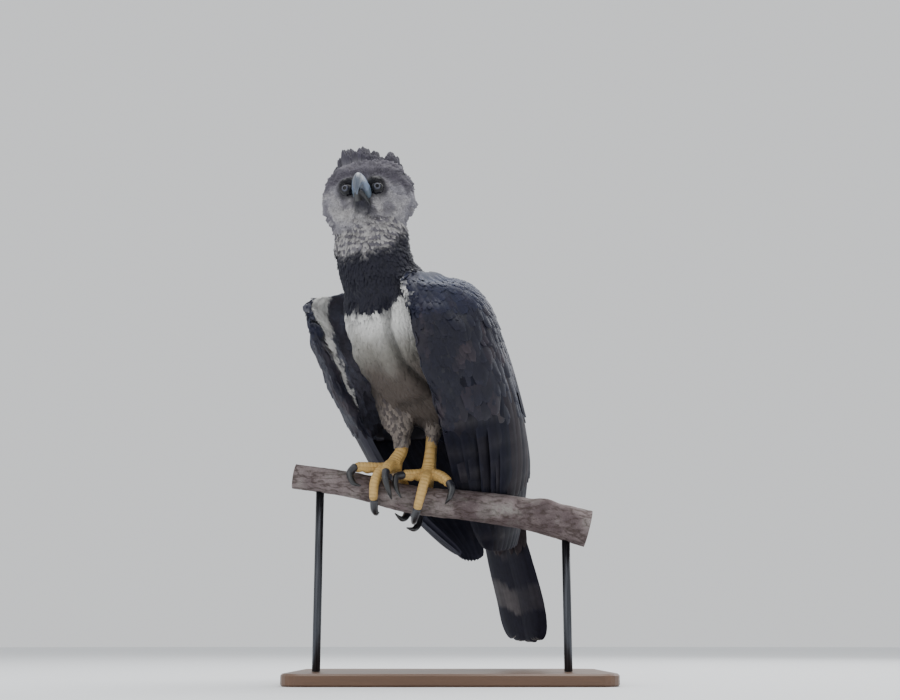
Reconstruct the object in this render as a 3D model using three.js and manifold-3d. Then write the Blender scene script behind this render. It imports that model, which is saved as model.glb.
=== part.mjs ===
// A life-size harpy eagle that grips a short cut length of branch, held on a plain display stand.
// Millimetres, +Z up. The origin is the centre of the stand's underside and the eagle looks along -Y.
import * as THREE from "three";
import { mergeVertices } from "three/addons/utils/BufferGeometryUtils.js";
import Module from "manifold-3d";

const wasm = await Module();
wasm.setup();

// Driving dimensions
const GRIP = [-64, -60, 345]; // top of the branch between the feet, where the eagle's own frames start
const BODY_YAW = -35; // degrees: the trunk is turned to the bird's right, away from the way its head looks
const HEAD = { centre: [-78, -104, 472], yaw: -7, roll: -1.5, pitch: 18 }; // centre from the grip, degrees
const EYE_LEVEL = -19; // of the eyes, in the head's own frame
const GAP = 0.3; // left between pieces that meet

const BASE = { length: 540, width: 400, thick: 20, corner: 34, bevel: 3 };
const ROD = { radius: 7, places: [-160, 262] }; // along the branch, from the grip
const SIDES = ["left", "right"];

const COLOURS = {
  slate: 0x2b2c38,
  black: 0x1c1b24,
  grey: 0x8f8a8c,
  white: 0xd9d4c6,
  yellow: 0xd0a04a,
  horn: 0x2f3038,
  bill: 0x6f7a86,
  iris: 0x8c8a86,
  bark: 0x8b7b72,
  wood: 0x5a4433,
  steel: 0x3a3c40,
};

// Small helpers
const vec = (p) => new THREE.Vector3(...p);
const mix = (a, b, t) => a + (b - a) * t;
const radians = THREE.MathUtils.degToRad;
const material = (color, roughness, metalness = 0) =>
  new THREE.MeshStandardMaterial({ color, roughness, metalness });

// The row at t, from 0 to 1, on a Catmull-Rom line through equal-length rows of numbers.
function along(rows, t) {
  const x = Math.min(Math.max(t, 0), 1) * (rows.length - 1);
  const i = Math.min(Math.floor(x), rows.length - 2);
  const u = x - i;
  const [p, q, r, s] = [i - 1, i, i + 1, i + 2].map((k) => rows[Math.min(Math.max(k, 0), rows.length - 1)]);
  return q.map((_, k) => {
    const slope = (r[k] - p[k]) / 2;
    const next = (s[k] - q[k]) / 2;
    const bend = 3 * (r[k] - q[k]) - 2 * slope - next;
    const turn = 2 * (q[k] - r[k]) + slope + next;
    return q[k] + u * (slope + u * (bend + u * turn));
  });
}

// A closed surface through rings of equally many points, with a pole at each end.
function lathed(rings) {
  const sides = rings[0].length;
  const middle = (ring) => ring.reduce((a, p) => a.add(p), new THREE.Vector3()).divideScalar(sides);
  const points = [middle(rings[0]), ...rings.flat(), middle(rings[rings.length - 1])];
  const at = (i, j) => 1 + i * sides + (j % sides);
  const index = [];
  for (let j = 0; j < sides; j += 1) {
    index.push(0, at(0, j + 1), at(0, j));
    index.push(points.length - 1, at(rings.length - 1, j), at(rings.length - 1, j + 1));
    for (let i = 0; i + 1 < rings.length; i += 1) {
      index.push(at(i, j), at(i, j + 1), at(i + 1, j + 1), at(i, j), at(i + 1, j + 1), at(i + 1, j));
    }
  }
  return new THREE.BufferGeometry().setFromPoints(points).setIndex(index);
}

// A body of oval section along a smooth line. Each station is [x, y, z, half width, front depth,
// back depth], the width lies along side, and the front is where the line's direction crosses it.
const LIMB = { side: [1, 0, 0], steps: 8, sides: 12, square: 1, dome: 0.5, ridge: 0, bump: () => 0 };
function limb(stations, options) {
  const { side, steps, sides, square, dome, ridge, bump } = { ...LIMB, ...options };
  const ring = (t, scale, shift) => {
    const [x, y, z, wide, front, back] = along(stations, t);
    const way = vec(along(stations, t + 0.02).slice(0, 3)).sub(vec(along(stations, t - 0.02).slice(0, 3)));
    way.normalize();
    const across = vec(side).addScaledVector(way, -way.dot(vec(side))).normalize();
    const depth = new THREE.Vector3().crossVectors(way, across);
    const centre = new THREE.Vector3(x, y, z).addScaledVector(way, shift * Math.min(wide, front));
    return Array.from({ length: sides }, (_, j) => {
      const turn = (2 * Math.PI * j) / sides;
      const [c, s] = [Math.cos(turn), Math.sin(turn)].map((v) => Math.sign(v) * Math.abs(v) ** square);
      const more = bump(t, turn);
      const narrow = 1 - ridge * Math.max(s, 0);
      const w = (wide + more) * scale * narrow;
      const d = ((s > 0 ? front : back) + more) * scale;
      return centre.clone().addScaledVector(across, c * w).addScaledVector(depth, s * d);
    });
  };
  const body = Array.from({ length: steps + 1 }, (_, i) => ring(i / steps, 1, 0));
  const start = [ring(0, 0.42, -0.9 * dome), ring(0, 0.78, -0.6 * dome)];
  const end = [ring(1, 0.78, 0.6 * dome), ring(1, 0.42, 0.9 * dome)];
  return lathed([...start, ...body, ...end]);
}

// A curved blade between two edges. Each station is [front x, y, z, rear x, y, z, bulge, thickness].
// Its bulge and the outer face lie where the chord crosses the blade's length, or opposite where out is -1.
const BLADE = { out: 1, steps: 12, across: 9, edge: 0.3, full: 1 };
function blade(stations, options) {
  const { out, steps, across, edge, full } = { ...BLADE, ...options };
  const place = (t, k) => vec(along(stations, t).slice(k, k + 3));
  const us = Array.from({ length: across }, (_, k) => (1 - Math.cos((Math.PI * k) / (across - 1))) / 2);
  const rings = Array.from({ length: steps + 1 }, (_, i) => {
    const t = i / steps;
    const [bulge, thick] = along(stations, t).slice(6);
    const front = place(t, 0);
    const rear = place(t, 3);
    const ahead = place(t + 0.03, 0).add(place(t + 0.03, 3));
    const way = ahead.sub(place(t - 0.03, 0)).sub(place(t - 0.03, 3));
    const chord = rear.clone().sub(front);
    const normal = new THREE.Vector3().crossVectors(chord, way).setLength(out);
    const swell = (u) => bulge * Math.sin(Math.PI * u ** 0.8) ** full;
    const depth = (u) => Math.max(thick * mix(1, edge, u) * Math.min(1, Math.sqrt((u + 0.02) / 0.14)), 1);
    const at = (u, level) => front.clone().lerp(rear, u).addScaledVector(normal, level);
    const outer = us.map((u) => at(u, swell(u)));
    const inner = us.map((u) => at(u, swell(u) - depth(u))).reverse();
    return out > 0 ? [...outer, ...inner] : [...outer, ...inner].reverse();
  });
  return lathed(rings);
}

// Solids
function welded(geometry) {
  const plain = geometry.index ? geometry.toNonIndexed() : geometry.clone();
  plain.deleteAttribute("normal");
  plain.deleteAttribute("uv");
  return mergeVertices(plain, 1e-3);
}

// The solid inside a surface, with the surface moved out along its normals by grow.
function solid(geometry, grow = 0) {
  const shell = welded(geometry);
  shell.computeVertexNormals();
  const { position, normal } = shell.attributes;
  const moved = position.array.map((v, k) => v + grow * normal.array[k]);
  return new wasm.Manifold(
    new wasm.Mesh({ numProp: 3, vertProperties: moved, triVerts: new Uint32Array(shell.index.array) }),
  );
}

function geometryOf(made) {
  const mesh = made.getMesh();
  const positions = new Float32Array(mesh.numVert * 3);
  for (let i = 0; i < mesh.numVert; i += 1) {
    positions.set(mesh.vertProperties.subarray(i * mesh.numProp, i * mesh.numProp + 3), i * 3);
  }
  return new THREE.BufferGeometry()
    .setAttribute("position", new THREE.BufferAttribute(positions, 3))
    .setIndex(new THREE.BufferAttribute(mesh.triVerts, 1));
}

const larger = (a, b) => (b.volume() > a.volume() ? b : a);
const largest = (made) => made.decompose().reduce(larger);

// The frames that pieces are drawn in, each as a matrix from it to the part's own frame
const moved = (place) => new THREE.Matrix4().makeTranslation(...place);
const turned = (yaw, roll = 0, pitch = 0) =>
  new THREE.Matrix4()
    .makeRotationZ(radians(yaw))
    .multiply(new THREE.Matrix4().makeRotationY(radians(roll)))
    .multiply(new THREE.Matrix4().makeRotationX(radians(-pitch)));
const headFrame = moved(GRIP).multiply(moved(HEAD.centre)).multiply(turned(HEAD.yaw, HEAD.roll, HEAD.pitch));
const FRAMES = {
  stand: new THREE.Matrix4(),
  perch: moved(GRIP),
  body: moved(GRIP).multiply(turned(BODY_YAW)),
  head: headFrame,
  face: headFrame.clone().multiply(moved([0, 0, EYE_LEVEL])),
};

// The branch: x, y, z and radius from the grip, with a knot past the tail
const BRANCH = [
  [-205, 0, 3, 21.5],
  [-105, 0, -13, 22.5],
  [0, 0, -37, 24.5],
  [100, 0, -49, 26],
  [200, 0, -62, 28],
  [300, 0, -88, 32],
];
const KNOT = { at: [222, -14, -62], radius: 28 };

function branch() {
  const stations = BRANCH.map(([x, y, z, r]) => [x, y, z, r, r, r]);
  const gnarl = (t, turn) => 0.9 * Math.sin(7 * t * Math.PI + turn) + 0.7 * Math.sin(3 * turn + 19 * t);
  return limb(stations, { side: [0, 1, 0], steps: 11, sides: 12, dome: 0.08, bump: gnarl });
}
const knot = () => new THREE.SphereGeometry(KNOT.radius, 10, 7).scale(1.25, 0.8, 0.95).translate(...KNOT.at);

function standBase() {
  const [l, w, r] = [BASE.length / 2 - BASE.bevel, BASE.width / 2 - BASE.bevel, BASE.corner];
  const corners = [[l - r, r - w, -90], [l - r, w - r, 0], [r - l, w - r, 90], [r - l, r - w, 180]];
  const shape = new THREE.Shape();
  shape.moveTo(r - l, -w);
  for (const [x, y, from] of corners) {
    shape.absarc(x, y, r, radians(from), radians(from + 90), false);
  }
  return new THREE.ExtrudeGeometry(shape, {
    depth: BASE.thick - 2 * BASE.bevel,
    bevelSize: BASE.bevel,
    bevelThickness: BASE.bevel,
    bevelSegments: 1,
    curveSegments: 3,
  }).translate(0, 0, BASE.bevel);
}

function standRod(place) {
  const bottom = BASE.thick + GAP;
  const [from, to] = [BRANCH[0][0], BRANCH[BRANCH.length - 1][0]];
  const top = GRIP[2] + along(BRANCH, (place - from) / (to - from))[2];
  return new THREE.CylinderGeometry(ROD.radius, ROD.radius, top - bottom, 16)
    .rotateX(Math.PI / 2)
    .translate(GRIP[0] + place, GRIP[1], (top + bottom) / 2);
}

// Trunk and neck, in the body's frame
const TRUNK = [
  [0, -84, 342, 72, 54, 66],
  [2, -80, 300, 90, 64, 84],
  [9, -60, 250, 97, 74, 86],
  [12, -12, 200, 98, 78, 86],
  [14, 48, 158, 88, 70, 78],
  [14, 112, 122, 70, 52, 58],
  [10, 172, 94, 46, 34, 38],
];
const NECK = [
  [2, -90, 318, 71, 56, 66],
  [-8, -102, 362, 72, 57, 61],
  [-13, -110, 404, 71, 54, 57],
  [-14, -114, 440, 72, 50, 56],
];
const trunk = () => limb(TRUNK, { steps: 7, sides: 14 });
const neck = () => limb(NECK, { steps: 4, sides: 14, dome: 0.3 });

// Legs, from the grip: feathered thighs, bare shanks, then toes and claws as rows of points
const THIGHS = {
  left: [
    [52, 16, 205, 48, 50, 50],
    [44, 16, 160, 40, 42, 44],
    [37, 20, 112, 25, 28, 30],
    [33, 16, 76, 16, 17, 20],
    [31, 12, 54, 13, 13, 15],
  ],
  right: [
    [-22, 30, 205, 54, 50, 50],
    [-30, 18, 155, 46, 42, 44],
    [-26, 16, 108, 31, 30, 32],
    [-20, 14, 74, 19, 18, 21],
    [-19, 12, 52, 14, 14, 16],
  ],
};
const SHANKS = {
  left: [[33, 22, 92, 11], [31, 12, 52, 11], [28, 3, 22, 12.5], [27, -1, 8, 16]],
  right: [[-18, 24, 92, 11], [-20, 12, 52, 11.5], [-29, 4, 32, 13], [-34, -1, 19, 16.5]],
};
const TOE_RADIUS = [10.2, 9.4, 9, 8];
const CLAW_RADIUS = [7.2, 6.4, 4.6, 1.4];
const TOES = {
  left: {
    inner: [[24, -4, 6], [8, -12, 4], [-6, -17, 3], [-15, -21, 3]],
    middle: [[26, -8, 4], [22, -29, -6], [16, -37, -28], [9, -33, -54]],
    outer: [[32, -6, 4], [43, -14, 3], [53, -21, -3], [61, -27, -10]],
    hind: [[28, 8, 4], [26, 30, -10], [19, 38, -30], [11, 35, -50]],
  },
  right: {
    inner: [[-34, -6, 18], [-38, -20, 20], [-42, -31, 16], [-45, -39, 9]],
    middle: [[-38, -6, 16], [-54, -27, 8], [-64, -35, -12], [-66, -32, -38]],
    outer: [[-42, -6, 16], [-62, -14, 15], [-80, -18, 16], [-96, -20, 17]],
    hind: [[-32, 8, 16], [-22, 32, 2], [-12, 38, -20], [-8, 33, -40]],
  },
};
const CLAWS = {
  left: {
    inner: [[-17, -23, 2], [-28, -31, -3], [-28, -37, -20], [-19, -35, -38]],
    middle: [[8, -31, -58], [4, -22, -71], [2, -12, -77], [0, -5, -75]],
    outer: [[63, -29, -12], [67, -36, -23], [63, -39, -38], [56, -34, -48]],
    hind: [[11, 33, -56], [9, 24, -76], [2, 11, -87], [-10, -3, -86]],
  },
  right: {
    inner: [[-45, -42, 6], [-45, -49, -8], [-40, -47, -26], [-35, -39, -41]],
    middle: [[-65, -29, -43], [-65, -21, -56], [-62, -12, -62], [-58, -6, -60]],
    outer: [[-99, -22, 16], [-107, -28, 4], [-101, -32, -12], [-88, -31, -17]],
    hind: [[-8, 31, -46], [-12, 21, -63], [-19, 6, -70], [-30, -6, -62]],
  },
};
const DIGITS = Object.keys(TOES.left);

const round = (points, radii) => points.map((p, k) => [...p, radii[k], radii[k], radii[k]]);
const sideOf = (points) => {
  const way = vec(points[3]).sub(vec(points[0]));
  return way.cross(Math.abs(way.y) > Math.abs(way.x) ? vec([1, 0, 0]) : vec([0, 1, 0])).toArray();
};
const thigh = (side) => limb(THIGHS[side], { steps: 5, sides: 9 });
const shank = (side) =>
  limb(SHANKS[side].map(([x, y, z, r]) => [x, y, z, r, r, r]), { steps: 4, sides: 9, dome: 0.8 });
const toe = (points) =>
  limb(round(points, TOE_RADIUS), { side: sideOf(points), steps: 4, sides: 7, dome: 0.9 });
const claw = (points) =>
  limb(round(points, CLAW_RADIUS), { side: sideOf(points), steps: 4, sides: 6, dome: 0.6 });

// Folded wings, in the body's frame, from the wrist to the tips of the flight feathers
const WINGS = {
  left: [
    [74, -106, 338, 88, -40, 350, 16, 18],
    [66, -124, 312, 80, 16, 346, 62, 32],
    [80, -124, 260, 68, 82, 304, 92, 54],
    [92, -116, 200, 60, 136, 240, 96, 52],
    [97, -92, 134, 58, 178, 178, 94, 46],
    [91, -52, 66, 62, 210, 108, 90, 38],
    [85, 4, -4, 72, 232, 40, 70, 28],
    [76, 74, -66, 80, 228, -34, 36, 18],
    [62, 140, -120, 72, 216, -112, 10, 8],
  ],
  right: [
    [-138, -108, 322, -100, -50, 340, 16, 18],
    [-136, -122, 304, -82, -2, 336, 56, 32],
    [-112, -124, 258, -68, 62, 294, 98, 50],
    [-88, -108, 198, -58, 112, 234, 102, 52],
    [-76, -80, 138, -50, 152, 172, 100, 46],
    [-70, -32, 74, -44, 184, 104, 92, 38],
    [-64, 26, 6, -38, 202, 36, 80, 28],
    [-36, 78, -66, -24, 208, -44, 30, 18],
    [8, 134, -126, 4, 208, -136, 8, 8],
  ],
};
const wing = (side) => blade(WINGS[side], { out: side === "left" ? -1 : 1, full: 0.65, edge: 0.5 });

// Tail, in the body's frame: left edge, right edge, arch and thickness from the root to the rounded end
const TAIL = [
  [44, 168, 106, -30, 176, 106, 8, 24],
  [60, 206, 30, -38, 214, 30, 9, 16],
  [78, 240, -52, -44, 254, -52, 9, 12],
  [84, 274, -134, -46, 290, -134, 9, 9],
  [84, 300, -200, -40, 316, -200, 8, 7],
  [74, 318, -246, -34, 332, -246, 6, 6],
  [52, 330, -279, -16, 340, -276, 2, 4],
];
const tail = () => blade(TAIL, { steps: 9, across: 7, edge: 1 });

// Head, in its own frame: a broad oval from the nape to the flat face, and a fan of raised crest feathers
const SKULL = [
  [0, 62, 4, 36, 30, 34],
  [0, 42, 4, 64, 56, 56],
  [0, 14, 2, 81, 70, 66],
  [0, -12, -2, 80, 66, 64],
  [0, -31, -5, 66, 52, 56],
  [0, -44, -9, 46, 38, 44],
];
const CREST_TIPS = [
  [-64, 106], [-58, 126], [-48, 132], [-38, 127], [-34, 118], [-29, 128], [-20, 133], [-10, 128], [-4, 114],
  [4, 122], [12, 112], [22, 106], [32, 115], [42, 112], [50, 90],
];
const CREST = { root: [24, 40], tip: 25, thick: 10 };
const head = () => limb(SKULL, { steps: 7, sides: 18, square: 0.9, dome: 0.3 });
const crest = () =>
  blade(CREST_TIPS.map(([x, top]) => [0.8 * x, ...CREST.root, x, CREST.tip, top, 0, CREST.thick]), {
    steps: 20, across: 4, edge: 0.4,
  });

// Eyes and bill, in the face's frame, whose origin is level with the eyes
const EYE = { at: [25.5, -51, 0], radius: 12 };
const BILL_UPPER = [
  [0, -44, -5, 17, 16, 13],
  [0, -60, -4, 15.5, 17, 13],
  [0, -77, -4, 12.5, 15, 15],
  [0, -90, -12, 8.5, 11, 14],
  [0, -94, -26, 5, 6, 8],
  [0, -89, -39, 1.6, 1.8, 2.5],
];
const BILL_LOWER = [
  [0, -42, -24, 15, 7, 9],
  [0, -56, -24, 12, 6, 8],
  [0, -70, -24, 8.5, 5, 6],
  [0, -79, -24, 4, 3, 4],
];
const eye = (sign) =>
  new THREE.SphereGeometry(EYE.radius, 12, 8).translate(sign * EYE.at[0], EYE.at[1], EYE.at[2]);
const billUpper = () => limb(BILL_UPPER, { steps: 8, sides: 10, ridge: 0.3 });
const billLower = () => limb(BILL_LOWER, { steps: 4, sides: 10 });

// Every piece: its name, frame, surfaces, look and the neighbours cut from it
const LOOKS = {
  wood: material(COLOURS.wood, 0.5),
  steel: material(COLOURS.steel, 0.4, 0.9),
  bark: material(COLOURS.bark, 0.9),
  horn: material(COLOURS.horn, 0.35),
  bill: material(COLOURS.bill, 0.35),
  iris: material(COLOURS.iris, 0.1),
  scute: material(COLOURS.yellow, 0.6),
  white: material(COLOURS.white, 0.9),
  grey: material(COLOURS.grey, 0.9),
  slate: material(COLOURS.slate, 0.7),
  black: material(COLOURS.black, 0.7),
};
const piece = (name, frame, look, surfaces, cutBy = []) => ({ name, frame, look, surfaces, cutBy });

function legPieces(side) {
  const feet = DIGITS.flatMap((digit, k) => {
    const earlier = DIGITS.slice(0, k).map((other) => `toe_${side}_${other}`);
    const cuts = ["perch", `shank_${side}`, `claw_${side}_${digit}`, ...earlier];
    return [
      piece(`claw_${side}_${digit}`, "perch", "horn", [claw(CLAWS[side][digit])], ["perch"]),
      piece(`toe_${side}_${digit}`, "perch", "scute", [toe(TOES[side][digit])], cuts),
    ];
  });
  const other = side === "right" ? ["thigh_left"] : [];
  return [
    ...feet,
    piece(`shank_${side}`, "perch", "scute", [shank(side)], ["perch"]),
    piece(`thigh_${side}`, "perch", "white", [thigh(side)], [`shank_${side}`, ...other]),
    piece(`wing_${side}`, "body", "slate", [wing(side)], [`thigh_${side}`, `claw_${side}_outer`, "perch"]),
  ];
}

const WING_NAMES = SIDES.map((side) => `wing_${side}`);
const THIGH_NAMES = SIDES.map((side) => `thigh_${side}`);
const PIECES = [
  piece("stand_base", "stand", "wood", [standBase()]),
  ...ROD.places.map((place, k) =>
    piece(`stand_rod_${k + 1}`, "stand", "steel", [standRod(place)], ["perch"])),
  piece("perch", "perch", "bark", [branch(), knot()]),
  ...SIDES.flatMap(legPieces),
  piece("tail", "body", "black", [tail()], WING_NAMES),
  piece("trunk", "body", "white", [trunk()], [...WING_NAMES, ...THIGH_NAMES, "tail"]),
  piece("neck", "body", "grey", [neck()], [...WING_NAMES, "trunk"]),
  piece("eye_left", "face", "iris", [eye(1)]),
  piece("eye_right", "face", "iris", [eye(-1)]),
  piece("bill_upper", "face", "bill", [billUpper()], ["eye_left", "eye_right"]),
  piece("bill_lower", "face", "bill", [billLower()], ["bill_upper"]),
  piece("head", "head", "grey", [head()], ["eye_left", "eye_right", "bill_upper", "bill_lower", "neck"]),
  piece("crest", "head", "grey", [crest()], ["head"]),
];

function drawn({ frame, surfaces }, grow) {
  const placed = surfaces.map((surface) => solid(surface.clone().applyMatrix4(FRAMES[frame]), grow));
  return placed.reduce((a, b) => a.add(b));
}
const grown = new Map(PIECES.map((one) => [one.name, drawn(one, GAP).add(drawn(one, 0))]));

const eagle = new THREE.Group();
for (const one of PIECES) {
  const made = one.cutBy.reduce((left, other) => left.subtract(grown.get(other)), drawn(one, 0));
  const mesh = new THREE.Mesh(geometryOf(largest(made)), LOOKS[one.look]);
  mesh.name = one.name;
  eagle.add(mesh);
}

export default eagle;
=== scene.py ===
"""A life-size harpy eagle that grips a cut length of branch, held on a plain display stand.

Metres, +Z up. Sizes copied from the solids are in millimetres and go through the frames below.
"""
import logging
import math
from dataclasses import dataclass, field
from enum import Enum
from functools import partial, reduce
from typing import Callable, Iterable, Sequence

import bmesh
import bpy
import numpy as np
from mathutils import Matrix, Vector
from mathutils.bvhtree import BVHTree
from mathutils.kdtree import KDTree


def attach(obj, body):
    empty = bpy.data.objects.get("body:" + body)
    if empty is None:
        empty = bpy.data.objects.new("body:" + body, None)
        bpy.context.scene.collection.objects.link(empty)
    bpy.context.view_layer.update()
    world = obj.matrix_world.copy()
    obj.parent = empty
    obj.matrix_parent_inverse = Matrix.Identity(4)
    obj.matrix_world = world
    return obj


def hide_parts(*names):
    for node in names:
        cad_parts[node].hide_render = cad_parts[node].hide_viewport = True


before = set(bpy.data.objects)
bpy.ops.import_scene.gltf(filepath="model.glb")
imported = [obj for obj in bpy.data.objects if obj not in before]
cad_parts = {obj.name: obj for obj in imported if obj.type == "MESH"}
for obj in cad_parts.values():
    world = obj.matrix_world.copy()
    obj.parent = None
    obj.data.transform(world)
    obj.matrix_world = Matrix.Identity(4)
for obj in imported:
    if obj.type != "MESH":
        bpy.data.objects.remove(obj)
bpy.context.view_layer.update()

LOG = logging.getLogger("harpy_eagle")
MM = 0.001
SEED = 20251
COLOUR_LAYER = "plumage"
VANE_LAYER = "vane"
BAKE_LAYER = "OFBake"
TUFT_PATCH = 0.003
Array = np.ndarray
Tree = bpy.types.NodeTree
Socket = bpy.types.NodeSocket
Inputs = dict[str | int, object]


# Numbers and vectors
def linear(hexa: str) -> Array:
    """Turns an sRGB hex colour into linear values.

    Args:
        hexa: Six hex digits, with or without a hash.

    Returns:
        Three linear values.
    """
    digits = hexa.lstrip("#")
    c = np.array([int(digits[k:k + 2], 16) / 255 for k in (0, 2, 4)])
    return np.where(c <= 0.04045, c / 12.92, ((c + 0.055) / 1.055) ** 2.4)


def rgba(hexa: str) -> tuple[float, float, float, float]:
    """Gives a linear colour with full alpha, for a shader's socket."""
    r, g, b = linear(hexa)
    return (float(r), float(g), float(b), 1.0)


def unit(v: Array) -> Array:
    """Gives vectors of length one along the last axis."""
    return v / np.maximum(np.linalg.norm(v, axis=-1, keepdims=True), 1e-12)


def dot(a: Array, b: Array) -> Array:
    """Gives the dot products along the last axis, with that axis kept."""
    return np.sum(a * b, axis=-1, keepdims=True)


def ramp(low: float, high: float, x: Array) -> Array:
    """Rises from 0 at low to 1 at high with no corner."""
    t = np.clip((np.asarray(x, float) - low) / (high - low), 0, 1)
    return t * t * (3 - 2 * t)


def blend(a: Array, b: Array, share: Array) -> Array:
    """Mixes two colours or rows of colours by a share for each row."""
    return a + (b - a) * np.asarray(share)[..., None]


def layered(colour: Array, *coats: tuple[Array, Array]) -> Array:
    """Lays colours over a first one, in turn.

    Args:
        colour: The first colour, or one for each point.
        coats: A colour and its share for each point, for each coat.

    Returns:
        One colour for each point.
    """
    for tone, share in coats:
        colour = blend(colour, tone, share)
    return colour


def hashed(cells: Array) -> Array:
    """Gives a fixed number from 0 to 1 for each whole-number cell.

    Args:
        cells: Rows of three whole numbers.

    Returns:
        One number for each row.
    """
    x, y, z = (cells[..., k].astype(np.int64) for k in range(3))
    h = (x * 73856093) ^ (y * 19349663) ^ (z * 83492791)
    h = (h ^ (h >> 13)) * 1274126177
    return ((h ^ (h >> 16)) & 0xFFFF) / 65535.0


def noise(points: Array, cell: float, seed: int = 0) -> Array:
    """Gives smooth noise from 0 to 1 at points.

    Args:
        points: Positions, in the same unit as the cell.
        cell: Size of one bump.
        seed: Picks another pattern.

    Returns:
        One value for each point.
    """
    q = np.asarray(points, float) / cell + 19.37 * seed
    base = np.floor(q)
    f = q - base
    f = f * f * (3 - 2 * f)
    total = np.zeros(q.shape[:-1])
    for corner in np.ndindex(2, 2, 2):
        weight = np.prod(np.where(np.array(corner) > 0, f, 1 - f), axis=-1)
        total += weight * hashed(base + np.array(corner))
    return total


def fractal(points: Array, cell: float, seed: int = 0, octaves: int = 3) -> Array:
    """Adds noise of halving cells, and gives values from 0 to 1.

    Args:
        points: Positions, in the same unit as the cell.
        cell: Size of the coarsest bumps.
        seed: Picks another pattern.
        octaves: How many sizes of bumps.

    Returns:
        One value for each point.
    """
    total, weight = 0.0, 0.0
    for k in range(octaves):
        total = total + noise(points, cell / 2 ** k, seed + k) / 2 ** k
        weight += 0.5 ** k
    return total / weight


def along(rows: Array, t: Array) -> Array:
    """Reads rows of numbers along a Catmull-Rom line.

    Args:
        rows: Stations of equally many numbers.
        t: Places from 0, the first station, to 1, the last.

    Returns:
        One row for each place.
    """
    rows = np.asarray(rows, float)
    last = len(rows) - 1
    x = np.clip(np.asarray(t, float), 0, 1) * last
    i = np.minimum(np.floor(x).astype(int), last - 1)
    u = (x - i)[..., None]
    p, q, r, s = (rows[np.clip(i + k, 0, last)] for k in (-1, 0, 1, 2))
    slope, following = (r - p) / 2, (s - q) / 2
    bend = 3 * (r - q) - 2 * slope - following
    turn = 2 * (q - r) + slope + following
    return q + u * (slope + u * (bend + u * turn))


# Frames, each a matrix from it to the part's own frame, in millimetres
def moved(place: Sequence[float]) -> Array:
    """Gives the matrix of a move.

    Args:
        place: How far along each axis.

    Returns:
        A four by four matrix.
    """
    made = np.eye(4)
    made[:3, 3] = place
    return made


def turned(yaw: float, roll: float = 0.0, pitch: float = 0.0) -> Array:
    """Gives the matrix of a turn about Z, then Y, then X back.

    Args:
        yaw: Degrees about Z.
        roll: Degrees about Y.
        pitch: Degrees about X, against its sense.

    Returns:
        A four by four matrix.
    """
    a, b, c = (math.radians(d) for d in (yaw, roll, -pitch))
    z = [[math.cos(a), -math.sin(a), 0], [math.sin(a), math.cos(a), 0], [0, 0, 1]]
    y = [[math.cos(b), 0, math.sin(b)], [0, 1, 0], [-math.sin(b), 0, math.cos(b)]]
    x = [[1, 0, 0], [0, math.cos(c), -math.sin(c)], [0, math.sin(c), math.cos(c)]]
    made = np.eye(4)
    made[:3, :3] = np.array(z) @ np.array(y) @ np.array(x)
    return made


GRIP = np.array([-64.0, -60.0, 345.0])
PERCH_FRAME = moved(GRIP)
BODY_FRAME = PERCH_FRAME @ turned(-35)
HEAD_FRAME = PERCH_FRAME @ moved([-78, -104, 472]) @ turned(-7, -1.5, 18)
FACE_FRAME = HEAD_FRAME @ moved([0, 0, -19])


def placed(matrix: Array, points: Array) -> Array:
    """Takes points in millimetres from a frame to the scene in metres."""
    points = np.asarray(points, float)
    return (points @ matrix[:3, :3].T + matrix[:3, 3]) * MM


def aimed(matrix: Array, directions: Array) -> Array:
    """Takes directions from a frame to the scene."""
    return np.asarray(directions, float) @ matrix[:3, :3].T


def seen_from(matrix: Array, points: Array) -> Array:
    """Takes points in metres from the scene to a frame in millimetres."""
    return (np.asarray(points, float) / MM - matrix[:3, 3]) @ matrix[:3, :3]


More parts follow.
